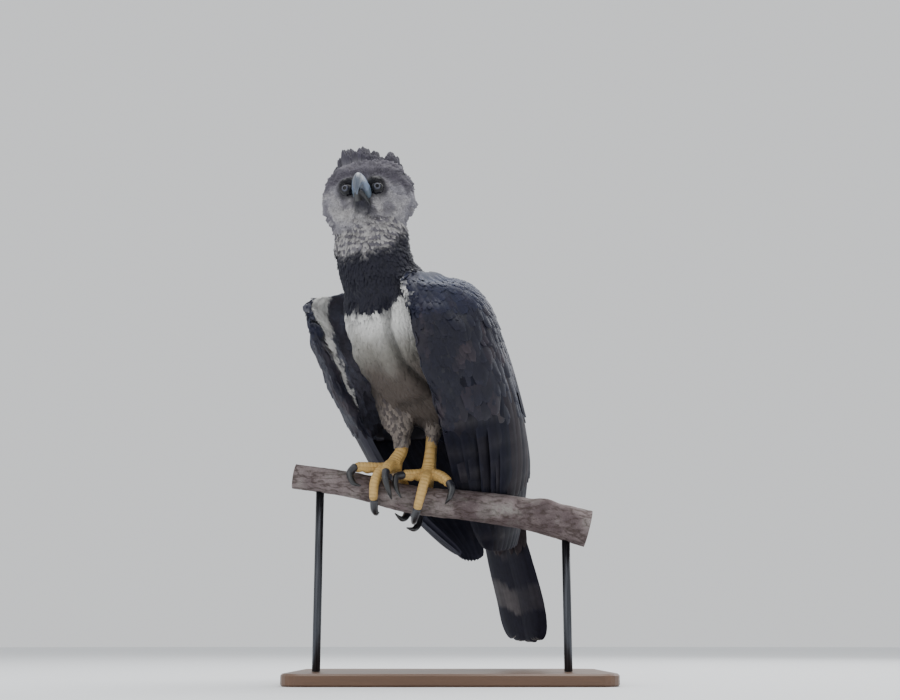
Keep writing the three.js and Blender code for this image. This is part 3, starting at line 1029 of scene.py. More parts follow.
# The skin and the markings, with their painted shade and sheen, that it shares with the coat
class Zone(Enum):
    """Where on the bird a point of the skin lies."""

    HEAD = 0
    NECK = 1
    TRUNK = 2
    THIGH_LEFT = 3
    THIGH_RIGHT = 4
    WING_LEFT = 5
    WING_RIGHT = 6
    LEGS = 7


class Tone:
    """Colours of plumage and feet, and of the painted shade and sheen laid over them, as linear values."""

    FACE = linear("#77757b")
    FACE_LIGHT = linear("#aba8a8")
    CROWN = linear("#3b3741")
    CREST = linear("#35323d")
    THROAT = linear("#a19e9d")
    FURROW_SHADE = linear("#57545c")
    BLACK = linear("#101020")
    SLATE = linear("#191c32")
    PAINTED_SLATE_SHEEN = linear("#4c5469")
    LINING_PAINTED_FILL = linear("#4a4b5a")
    BROWN = linear("#362c31")
    WHITE = linear("#d4d3d0")
    BELLY_HALF_SHADE = linear("#74716a")
    UNDERSIDE_SHADE = linear("#4a413c")
    THIGH = linear("#7b726b")
    THIGH_BAR = linear("#3f393b")
    VENT = linear("#2b2629")
    GREY_BAND = linear("#85807f")
    FOOT = linear("#d0aa66")
    FOOT_DARK = linear("#8e6f3e")


@dataclass
class MarkingsAndPaintedLight:
    """The bird's markings as formulas of place, for the skin and the coat alike, with painted shade in its
    folds, furrows and sockets, and a painted sheen on the wings.
    """

    hood_turns: tuple[float, ...] = (-3.14, -1.6, -0.77, -0.05, 0.55, 1.07, 1.41, 2.2, 3.14)
    hood_heights: tuple[float, ...] = (442, 402, 369, 364, 364, 377, 396, 424, 442)
    bib_places: tuple[float, ...] = (-75, 24, 44, 68)
    bib_heights: tuple[float, ...] = (272, 254, 268, 282)

    def hood(self, points: Array) -> Array:
        """Gives how far above the hood's lower border points lie, in millimetres.

        Args:
            points: Positions in the scene.

        Returns:
            One height for each point.
        """
        q = seen_from(BODY_FRAME, points)
        turn = np.arctan2(q[:, 0] + 10, -(q[:, 1] + 106))
        border = np.interp(turn, self.hood_turns, self.hood_heights)
        return q[:, 2] - border + 14 * (noise(q, 11, 3) - 0.5)

    def bib(self, points: Array) -> Array:
        """Gives how far above the breast band's lower border points lie, in millimetres.

        Args:
            points: Positions in the scene.

        Returns:
            One height for each point.
        """
        q = seen_from(BODY_FRAME, points)
        border = np.interp(q[:, 0], self.bib_places, self.bib_heights)
        return q[:, 2] - border + 13 * (noise(q, 9, 5) - 0.5)

    def face(self, points: Array) -> Array:
        """Gives the head's colours.

        Args:
            points: Positions in the scene.

        Returns:
            One colour for each point.
        """
        q = seen_from(FACE_FRAME, points)
        x, y, z = q.T
        across = np.abs(x) - EYE_PLACE[0]
        ahead = ramp(-14, -30, y)
        # Painted shade under the brow ridge and in the eye sockets; the lores by the bill are darkened alike
        brow = np.exp(-((across / 14) ** 2) - (((z - 14) / 7) ** 2)) * ahead
        socket_shade = np.exp(-(((across ** 2 + (z - 2) ** 2) / 16.5 ** 2) ** 3)) * ahead
        lores = np.exp(-(((np.abs(x) - 12) / 7) ** 2) - ((z - 1) / 12) ** 2) * ramp(-30, -42, y)
        chin = np.exp(-((x / (18 + 0.25 * (z + 20))) ** 4)) * ramp(-10, -20, z) * ramp(-48, -34, z)
        return layered(
            Tone.FACE,
            (Tone.THROAT, 0.8 * ramp(4, -34, z) * ramp(8, -26, y)),
            (Tone.FACE_LIGHT, 0.45 * ramp(0.45, 0.75, fractal(q, 9, 11))),
            # Painted shade in the furrows between the head's soft tufts
            (Tone.FURROW_SHADE, 0.75 * ramp(0.5, 0.36, self.lumps(q))),
            (Tone.CROWN, 0.9 * ramp(9, 26, z + 14 * (noise(q, 12, 7) - 0.5))),
            (Tone.CROWN, 0.75 * ramp(2, 36, y)),
            # Near-black painted shade over and round the eyes, and on the lores
            (0.16 * Tone.CREST, 0.96 * np.clip(brow + socket_shade + 0.8 * lores, 0, 1)),
            # The chin's dark feathers, deepened to black as painted shade under the bill
            (Tone.BLACK, 0.95 * chin * ramp(-16, -30, y)),
        )

    @staticmethod
    def lumps(q: Array) -> Array:
        """Gives the soft tufts of the head's plumage, from 0 in the furrows to 1."""
        return fractal(q, 16, 71, 2)

    @staticmethod
    def ripple(q: Array) -> Array:
        """Gives the ruffles round the throat, about 11 mm apart, from 0 to 1 in the furrows."""
        return 0.5 + 0.5 * np.sin(0.56 * q[:, 2] + 7 * noise(q, 18, 4) + 0.06 * q[:, 0])

    @staticmethod
    def groove(q: Array) -> Array:
        """Gives the folds in the belly's plumage, from 0 to 1 at their bottom.

        Args:
            q: Positions in the body's frame.

        Returns:
            One value for each point.
        """
        x, y, z = q.T
        line = np.interp(z, [121, 158, 180, 222, 300], [80, 56, 44, 38, 40])
        fold = np.exp(-(((x - line) / 8) ** 2)) * ramp(105, 140, z) * ramp(306, 280, z)
        return fold * ramp(20, -20, y - 0.9 * (230 - z))

    @staticmethod
    def lobes(q: Array) -> Array:
        """Gives the belly's soft lobes, from 0 in the furrows to 1."""
        return fractal(q * [1, 1, 1.3], 30, 51, 2)

    def front(self, points: Array) -> Array:
        """Gives the neck's and the trunk's colours.

        Args:
            points: Positions in the scene.

        Returns:
            One colour for each point.
        """
        q = seen_from(BODY_FRAME, points)
        _, y, z = q.T
        mist = noise(q, 26, 9) - 0.5
        # Painted shade in the belly's folds and between its soft lobes, where the skin is also sunk
        furrow = np.clip(self.groove(q) + 0.5 * ramp(0.47, 0.33, self.lobes(q)), 0, 1)
        belly = layered(
            Tone.WHITE,
            # Greyer and then brown-grey down the belly: painted shade on white plumage that turns under the
            # body
            (Tone.BELLY_HALF_SHADE, 0.95 * ramp(250, 198, z + 24 * mist)),
            (Tone.UNDERSIDE_SHADE, 0.95 * ramp(205, 150, z + 30 * mist)),
            # Black over the folds and lobe furrows: painted shade
            (0 * Tone.UNDERSIDE_SHADE, 0.58 * furrow * ramp(305, 285, z)),
        )
        hood = layered(
            Tone.THROAT,
            # Painted shade in the furrows of the throat's ruffles
            (Tone.FURROW_SHADE, 0.95 * ramp(0.4, 0.9, self.ripple(q))),
            (Tone.CROWN, 0.85 * ramp(-92, -66, y)),
        )
        return layered(
            belly,
            (Tone.VENT, ramp(10, 60, y) * ramp(205, 165, z)),
            (Tone.SLATE, ramp(-28, 6, y - 0.32 * (300 - z) + 38 * ramp(235, 285, z))),
            (Tone.BLACK, ramp(-3, 4, self.bib(points))),
            (hood, ramp(-6, 6, self.hood(points))),
        )

    def thigh(self, points: Array) -> Array:
        """Gives the thighs' colours: pale with fine wavy bars, about 7 mm apart.

        Args:
            points: Positions in the scene.

        Returns:
            One colour for each point.
        """
        q = seen_from(PERCH_FRAME, points)
        z = q[:, 2]
        # The thighs' tops take the same painted shade under the belly
        pale = blend(Tone.UNDERSIDE_SHADE, Tone.THIGH, ramp(165, 110, z))
        wave = np.sin(z * 2 * math.pi / 7.2 + 3.2 * noise(q, 16, 6) + 0.12 * q[:, 0])
        bars = ramp(0.1, 0.75, wave) * ramp(212, 160, z)
        return blend(pale, Tone.THIGH_BAR, 0.75 * bars)

    def wing(self, points: Array, u: Array, v: Array, inner: Array, side: str) -> Array:
        """Gives a wing's colours.

        Args:
            points: Positions in the scene.
            u: Place from the front edge to the rear one.
            v: Place from the top to the tips.
            inner: Place from the outer face, 0, to the face towards the body, 1.
            side: Left or right.

        Returns:
            One colour for each point.
        """
        mist = fractal(points, 0.03, 12)
        # A painted sheen of sky light along the top of the folded wing
        sheen = ramp(0.3, 0.02, v) * ramp(0.02, 0.25, u)
        worn = ramp(0.5, 0.75, fractal(points * [1, 1, 0.35], 0.018, 21)) * ramp(0.16, 0.34, v)
        # The lining is painted paler than its slate, as fill light on the inner face that lies in shade
        under = blend(Tone.LINING_PAINTED_FILL, Tone.BROWN, 0.5 * ramp(0.4, 0.7, noise(points, 0.02, 31)))
        spot = np.exp(-(((u - 0.93) / 0.035) ** 2) - (((v - 0.44) / 0.016) ** 2)) * (inner < 0.5)
        return layered(
            Tone.SLATE,
            (Tone.BLACK, ramp(0.15, 0.5, v + 0.5 * (1 - u) * (v > 0.3))),
            (Tone.PAINTED_SLATE_SHEEN, 0.6 * sheen * (0.5 + 0.8 * mist)),
            (Tone.BROWN, 0.7 * worn),
            (under, ramp(0.4, 0.6, inner)),
            (Tone.WHITE, 0.8 * np.clip(1.6 * spot - 0.4, 0, 1)),
            (Tone.WHITE, self.fringe(points, u, v, inner, side)),
        )

    @staticmethod
    def reach(v: Array, side: str) -> Array:
        """Gives how far the white band reaches back over the inner face."""
        if side == "left":
            return np.full_like(v, 0.012)
        return (0.004 + 0.045 * ramp(0.62, 0.5, v) + 0.1 * ramp(0.3, 0.2, v)
                + 0.18 * ramp(0.18, 0.05, v))

    @staticmethod
    def first(v: Array) -> Array:
        """Gives where on the right wing's front edge the white starts, from outer to inner face."""
        return 0.31 + 0.17 * ramp(0.16, 0.28, v) + 0.25 * ramp(0.52, 0.64, v)

    def fringe(self, points: Array, u: Array, v: Array, inner: Array, side: str) -> Array:
        """Gives how white the front edge is: a ragged band that narrows down the wing.

        Args:
            points: Positions in the scene.
            u: Places from the front edge to the rear one.
            v: Places from the top to the tips.
            inner: Place from the outer face, 0, to the inner one, 1.
            side: Left or right.

        Returns:
            One share of white for each point.
        """
        ragged = noise(points, 0.008, 14) - 0.5
        white = ramp(0.012, -0.012, u - self.reach(v, side) + 0.06 * ragged)
        if side == "right":
            first = self.first(v) + 0.16 * ragged
            return 0.97 * white * ramp(-0.05, 0.05, inner - first) * ramp(0.66, 0.58, v)
        first = 0.3 + 0.5 * ramp(0.2, 0.32, v) + 0.3 * ragged
        return 0.85 * white * ramp(-0.05, 0.05, inner - first) * ramp(0.6, 0.2, v)


class BladeMap:
    """Finds the nearest place on a blade for points of the skin."""

    def __init__(self, blade: Blade) -> None:
        """Samples both faces of the blade.

        Args:
            blade: The blade to search.
        """
        across = np.concatenate([[0.0, 0.008, 0.02, 0.035], np.linspace(0.055, 1, 28)])
        u, v = np.meshgrid(across, np.linspace(0, 1, 81), indexing="ij")
        self.u, self.v = u.ravel(), v.ravel()
        outer, normal, _, down = blade.sheet(self.u, self.v)
        self.down = unit(down)
        self.trees = []
        for face in (outer, outer - normal * blade.thickness(self.u, self.v)[:, None]):
            tree = KDTree(len(face))
            for k, p in enumerate(face):
                tree.insert(p, k)
            tree.balance()
            self.trees.append(tree)

    def find(self, points: Array) -> tuple[Array, Array, Array, Array]:
        """Gives u, v, the place from outer to inner face, and the way down the blade.

        Args:
            points: Positions in the scene.

        Returns:
            Four arrays with one row for each point.
        """
        best = [np.array([tree.find(p)[1:] for p in points.tolist()]) for tree in self.trees]
        inner = best[0][:, 1] / (best[0][:, 1] + best[1][:, 1] + 1e-9)
        index = np.where(inner > 0.5, best[1][:, 0], best[0][:, 0]).astype(int)
        return self.u[index], self.v[index], inner, self.down[index]

    def distance(self, points: Array) -> Array:
        """Gives how far points lie from the blade's faces, in metres."""
        return np.min([[tree.find(p)[2] for p in points.tolist()] for tree in self.trees], axis=0)


@dataclass
class Skin:
    """The one skin of the bird: trunk, neck, head, thighs, wing arms, shanks and toes."""

    voxel: float = 0.0036
    leg_voxel: float = 0.0017
    coat_depth: float = 5.0
    face_depth: float = 3.0
    fold_depth: float = 12.0
    lobe_height: float = 14.0
    tuft_height: float = 13.0
    ruffle_depth: float = 5.5
    points: Array = field(init=False)
    quads: Array = field(init=False)
    normals: Array = field(init=False)
    zones: Array = field(init=False)
    colours: Array = field(init=False)
    tree: BVHTree = field(init=False)

    def arm(self, side: str) -> Shell:
        """Makes a wing's fleshy arm: a blade thinner and narrower than the wing.

        Args:
            side: Left or right.

        Returns:
            A closed surface.
        """
        blade = WING_BLADES[side]
        v = np.linspace(0.01, 0.63, 42)
        u = (1 - np.cos(np.linspace(0, math.pi, 21))) / 2 * 0.93 + 0.002
        vs, us = np.meshgrid(v, u, indexing="ij")
        outer, normal, _, _ = blade.sheet(us, vs)
        thick = blade.thickness(us, vs)
        sink = np.minimum(0.0015, 0.25 * thick)
        end = np.maximum(0.4, ramp(0.64, 0.5, vs))
        core = np.maximum((thick - 2 * sink) * end * (1 - 0.45 * ramp(0.5, 1, us)), 0.008)
        # The remesh rounds the front edge off, so the edge is drawn forward first.
        ahead = unit(blade.outer(0 * us, vs) - blade.outer(0 * us + 1, vs))
        drawn = (0.012 + 0.007 * ramp(0.15, 0.3, vs)) * ramp(0.64, 0.44, vs)
        top = outer - normal * sink[..., None] + ahead * (drawn * np.clip(1 - us / 0.1, 0, 1) ** 2)[..., None]
        low = top - normal * core[..., None]
        rings = np.concatenate([top, low[:, ::-1]], axis=1)
        # A rounded end at the shoulder.
        middle = rings[0].mean(0)
        rise = unit(rings[0].mean(0) - rings[3].mean(0))
        dome = [middle + (rings[0] - middle) * share + rise * shift
                for share, shift in ((0.3, 0.009), (0.62, 0.0075), (0.86, 0.004))]
        rings = np.concatenate([np.array(dome), rings])
        if side == "left":
            rings = behind_perch(rings)
        return lofted(rings if blade.out > 0 else rings[:, ::-1])

    def brow(self, sign: int) -> Limb:
        """Gives the bony shelf over an eye."""
        rows = [[sign * 10, -53, 12, 6, 5, 6], [sign * 25, -58, 13, 8, 6, 7], [sign * 44, -41, 9, 6, 5, 6]]
        return Limb(rows, FACE_FRAME, side=(0, 1, 0))

    def orbit(self, sign: int) -> Limb:
        """Gives the round mound that an eye sits in.

        Args:
            sign: 1 for the left eye and -1 for the right.

        Returns:
            The mound.
        """
        x, y, z = EYE_PLACE
        rows = [[sign * x, y + 14, z, 15], [sign * x, y + 3, z, 13]]
        return Limb(round_rows(rows), FACE_FRAME, dome=0.75)

    @staticmethod
    def chin() -> Limb:
        """Gives the feathered wedge under the lower bill."""
        rows = [[0, -30, -27, 17, 10, 11], [0, -47, -28, 13, 7.5, 8], [0, -61, -27.5, 8, 4.5, 4.5]]
        return Limb(rows, FACE_FRAME)

    def limbs(self) -> dict[Zone, list[Shell]]:
        """Gives the surfaces that make up the skin, by zone.

        Returns:
            The surfaces, which overlap.
        """
        c, f = self.coat_depth, self.face_depth
        skull = Limb(SKULL, HEAD_FRAME, square=0.9, dome=0.3, shrink=f)
        head = [skull.shell(40, 48), self.chin().shell(16, 20)]
        for sign in (1, -1):
            head += [self.brow(sign).shell(12, 16), self.orbit(sign).shell(8, 24)]
        return {
            Zone.HEAD: head,
            Zone.NECK: [Limb(NECK, BODY_FRAME, dome=0.3, shrink=c).shell(30, 48)],
            Zone.TRUNK: [Limb(TRUNK, BODY_FRAME, shrink=c).shell(50, 56)],
            Zone.THIGH_LEFT: [Limb(THIGHS["left"], PERCH_FRAME, shrink=3.5).shell(30, 32)],
            Zone.THIGH_RIGHT: [Limb(THIGHS["right"], PERCH_FRAME, shrink=3.5).shell(30, 32)],
            Zone.WING_LEFT: [self.arm("left")],
            Zone.WING_RIGHT: [self.arm("right")],
        }

    def leg_shells(self) -> list[Shell]:
        """Gives the bare shanks and the toes, with pads under the joints.

        Returns:
            The surfaces, which overlap.
        """
        made = []
        for side, toes in TOES.items():
            made.append(Limb(round_rows(SHANKS[side]), PERCH_FRAME, dome=0.8, shrink=0.5).shell(24, 24))
            for points in toes.values():
                rows = round_rows(points, TOE_RADIUS)
                made.append(Limb(rows, PERCH_FRAME, side_of(points), dome=0.9, shrink=0.7).shell(24, 20))
                for row in along(rows, PAD_PLACES):
                    inward = unit((branch_at(row[0])[:3] - row[:3]) * [0, 1, 1])
                    pad = row[:3] + inward * 2.2
                    ball = round_rows([pad - [0, 0, 2], pad + [0, 0, 2]], [0.93 * row[3]] * 2)
                    made.append(Limb(ball, PERCH_FRAME, dome=0.9).shell(4, 14))
        return made

    def build(self, markings: MarkingsAndPaintedLight) -> None:
        """Makes the skin's arrays: points, faces, zones and colours.

        Args:
            markings: The bird's markings.
        """
        parts = self.limbs()
        shells = [shell for group in parts.values() for shell in group]
        points, quads = union(shells, self.voxel)
        points = relaxed(points, quads, 5)
        points = self.sculpted(points, normals_of(points, quads))
        points = relaxed(points, quads, 1, 0.3)
        labels = self.nearest(points, parts)
        feet, foot_quads = union(self.leg_shells(), self.leg_voxel)
        feet = relaxed(feet, foot_quads, 2)
        self.quads = np.concatenate([quads, foot_quads + len(points)])
        self.points = np.concatenate([points, feet])
        self.zones = np.concatenate([labels, np.full(len(feet), Zone.LEGS.value)])
        self.normals = normals_of(self.points, self.quads)
        self.tree = BVHTree.FromPolygons(points.tolist(), quads.tolist())
        self.colours = self.marked(markings)

    def sculpted(self, points: Array, normals: Array) -> Array:
        """Adds the plumage's folds and opens the eye sockets.

        Args:
            points: The skin's points.
            normals: Its normals.

        Returns:
            The moved points.
        """
        q, f = seen_from(BODY_FRAME, points), seen_from(FACE_FRAME, points)
        front = ramp(0, -30, q[:, 1] - 0.7 * (230 - q[:, 2])) * ramp(300, 270, q[:, 2])
        sunk = self.fold_depth * MarkingsAndPaintedLight.groove(q) - self.lobe_height * (MarkingsAndPaintedLight.lobes(q) - 0.5) * front
        clear = ramp(26, 42, np.linalg.norm(f - [0, -64, -8], axis=1))
        for sign in (1, -1):
            clear = clear * ramp(20, 34, np.linalg.norm(f - eye_centre(sign), axis=1))
        head = clear * ramp(-95, -70, f[:, 2]) * ramp(300, 315, q[:, 2])
        sunk = sunk - self.tuft_height * (MarkingsAndPaintedLight.lumps(f) - 0.5) * head
        throat = clear * ramp(318, 340, q[:, 2]) * ramp(-14, -40, f[:, 2])
        throat = throat * ramp(10, -20, f[:, 1])
        sunk = sunk + self.ruffle_depth * (MarkingsAndPaintedLight.ripple(q) - 0.5) * throat
        points = points - normals * (sunk * MM)[:, None]
        for sign in (1, -1):
            away = points - placed(FACE_FRAME, eye_centre(sign))
            far = np.linalg.norm(away, axis=1)
            way = away / far[:, None]
            opened = ramp(math.cos(math.radians(50)), math.cos(math.radians(38)), way @ gaze(sign))
            opened = opened * (far < SOCKET_REACH)
            points = points + way * ((SOCKET_RADIUS - far) * opened)[:, None]
        return points

    @staticmethod
    def nearest(points: Array, parts: dict[Zone, list[Shell]]) -> Array:
        """Gives the zone whose surface lies nearest to each point.

        Args:
            points: Positions in the scene.
            parts: The surfaces of each zone.

        Returns:
            One zone's number for each point.
        """
        best = np.full(len(points), np.inf)
        label = np.zeros(len(points), int)
        for zone, shells in parts.items():
            for shell in shells:
                faces = shell.quads.tolist() + shell.triangles.tolist()
                tree = BVHTree.FromPolygons(shell.points.tolist(), faces)
                away = np.array([tree.find_nearest(p)[3] for p in points.tolist()])
                label = np.where(away < best, zone.value, label)
                best = np.minimum(best, away)
        return label

    def marked(self, markings: MarkingsAndPaintedLight) -> Array:
        """Gives the skin's colours, the same as the coat's, and yellow on the feet.

        Args:
            markings: The bird's markings.

        Returns:
            One colour for each point of the skin.
        """
        colours = np.zeros_like(self.points)
        for zone in Zone:
            chosen = self.zones == zone.value
            if chosen.any():
                colours[chosen] = zone_colours(markings, zone, self.points[chosen])
        return colours

    def piece(self) -> None:
        """Shows the skin in the place of the nodes of flesh."""
        surface = Shell(self.points, self.quads, colours=self.colours)
        skin = show("skin", surface, SkinFinish().material())
        toes = [f"toe_{side}_{digit}" for side in TOES for digit in TOES[side]]
        shanks = ["shank_left", "shank_right", "thigh_left", "thigh_right"]
        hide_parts("trunk", "neck", "head", "wing_left", "wing_right", *shanks, *toes)


def gaze(sign: int) -> Array:
    """Gives the direction that an eye looks in: ahead, a little out and a little down."""
    return aimed(FACE_FRAME, unit(np.array([sign * 0.2, -0.93, -0.3])))


BLADE_MAPS = {side: BladeMap(blade) for side, blade in WING_BLADES.items()}


def zone_colours(markings: MarkingsAndPaintedLight, zone: Zone, points: Array) -> Array:
    """Gives the markings at points of one zone.

    Args:
        markings: The bird's markings.
        zone: The zone that all the points lie in.
        points: Positions in the scene.

    Returns:
        One colour for each point.
    """
    if zone is Zone.HEAD:
        return markings.face(points)
    if zone in (Zone.NECK, Zone.TRUNK):
        return markings.front(points)
    if zone in (Zone.THIGH_LEFT, Zone.THIGH_RIGHT):
        return markings.thigh(points)
    if zone in (Zone.WING_LEFT, Zone.WING_RIGHT):
        side = "left" if zone is Zone.WING_LEFT else "right"
        u, v, inner, _ = BLADE_MAPS[side].find(points)
        return markings.wing(points, u, v, inner, side)
    stain = ramp(0.4, 0.8, noise(points, 0.006, 2))
    return blend(Tone.FOOT, Tone.FOOT_DARK, 0.25 * stain)


# Feathers
@dataclass(frozen=True)
class Outline:
    """A feather's outline and section.

    root is the half width at the root as a share of the widest, broad the place along the
    feather where its tip starts to round off, and blunt how round the tip is. Thickness is in
    metres, and camber a share of the half width.
    """

    rings: int = 6
    columns: int = 3
    root: float = 0.4
    broad: float = 0.5
    blunt: float = 2.2
    thick: float = 0.0003
    camber: float = 0.22
    ragged: float = 0.08

    def stations(self) -> Array:
        """Gives where the rings lie along the feather, closer together at the tip."""
        k = np.linspace(0.03, 1, self.rings + 1)[:-1]
        return 1 - (1 - k) ** 1.35

    def columns_at(self) -> Array:
        """Gives where the columns lie across, from -1 to 1."""
        return np.linspace(-1, 1, self.columns)

    def half_widths(self) -> Array:
        """Gives the share of the half width at each ring.

        Returns:
            One share for each ring.
        """
        s = self.stations()
        grown = self.root + (1 - self.root) * np.sin(math.pi / 2 * np.clip(s / self.broad, 0, 1))
        past = np.clip((s - self.broad) / (1 - self.broad), 0, 1)
        return grown * (1 - past ** self.blunt) ** (1 / self.blunt)


@dataclass
class Flock:
    """Feathers of one outline, as arrays with one row for each feather.

    centres and ups hold a few control points along each feather, and lifts the height over
    them at the root and the tip, in metres. paint gives colours for places along and across.
    """

    outline: Outline
    centres: Array
    ups: Array
    half_widths: Array
    lifts: Array
    paint: Callable[[Array, Array], Array]
    patches: Array
    patch_size: tuple[float, float] = (TUFT_PATCH, TUFT_PATCH)
    lift_power: float = 1.2
    twist: Array | None = None

    def shell(self, rng: np.random.Generator) -> Shell:
        """Joins the feathers into one surface of closed thin vanes.

        Args:
            rng: Draws the small unevenness of the edges.

        Returns:
            The surface with its layers.
        """
        o = self.outline
        s = o.stations()
        ends = np.concatenate([[0.0], s, [1.0]])
        basis = along(np.eye(self.centres.shape[1]), ends)
        centre = np.einsum("rk,nkd->nrd", basis, self.centres)
        up = unit(np.einsum("rk,nkd->nrd", basis, self.ups))
        way = unit(np.gradient(centre, axis=1))
        side = unit(np.cross(up, way))
        up = np.cross(way, side)
        rise = self.lifts[:, :1] + (self.lifts[:, 1:] - self.lifts[:, :1]) * ends ** self.lift_power
        centre = centre + up * rise[..., None]
        if self.twist is not None:
            lean = (self.twist[:, None] * ends)[..., None]
            c, d = np.cos(lean), np.sin(lean)
            side, up = unit(side * c + up * d), unit(up * c - side * d)
        x_top = o.columns_at()
        x = np.concatenate([x_top, x_top[-2:0:-1]])
        level = np.concatenate([np.ones(o.columns), -np.ones(o.columns - 2)])
        level = level * (1 - x ** 2)
        n, sides = len(self.centres), len(x)
        wide = self.half_widths[:, None] * o.half_widths()[None]
        jag = 1 + o.ragged * rng.uniform(-1, 1, (n, o.rings, sides)) * (np.abs(x) > 0.99)
        cross = wide[..., None] * x * jag
        drop = -o.camber * self.half_widths[:, None, None] * x ** 2 + o.thick * level
        across = side[:, 1:-1, None] * cross[..., None]
        rings = centre[:, 1:-1, None] + across + up[:, 1:-1, None] * drop[..., None]
        points = np.concatenate([rings.reshape(n, -1, 3), centre[:, [0, -1]]], axis=1)
        per = o.rings * sides + 2
        quads, triangles = tube_faces(o.rings, sides)
        quads, triangles = quads[:, [0, 3, 2, 1]], triangles[:, [0, 2, 1]]
        shift = (np.arange(n) * per)[:, None, None]
        place_s = np.concatenate([np.repeat(s, sides), [0.0, 1.0]])
        place_x = np.concatenate([np.tile(x, o.rings), [0.0, 0.0]])
        rim = np.concatenate([np.tile(np.abs(x) > 0.99, o.rings), [False, True]])
        spot = np.stack([place_x / 2 * self.patch_size[0], (place_s - 0.5) * self.patch_size[1]], -1)
        return Shell(
            points.reshape(-1, 3),
            (quads.reshape(1, -1, 4) + shift).reshape(-1, 4),
            (triangles[None] + shift).reshape(-1, 3),
            colours=np.clip(self.paint(place_s, place_x), 0, 1).reshape(-1, 3),
            vane=np.tile(np.stack([place_x / 2 + 0.5, place_s], -1), (n, 1)),
            patch=(self.patches[:, None] + spot).reshape(-1, 2),
            rim=np.tile(rim, n),
        )


def strips(count: int) -> tuple[Array, tuple[float, float]]:
    """Gives the middles and the size of upright strips of an unwrap, one for each long feather."""
    return np.stack([(np.arange(count) + 0.5) / count, np.full(count, 0.5)], 1), (0.8 / count, 0.96)


@dataclass(frozen=True)
class Cover:
    """The sizes of one kind of body feather, in millimetres, and how much they vary."""

    length: float
    width: float
    spacing: float
    lift: float
    outline: Outline = Outline()
    pale_tip: float = 0.15
    shade: float = 0.06
    clump: float = 0.3
    vary: float = 0.16
    dark_shaft: float = 0.06


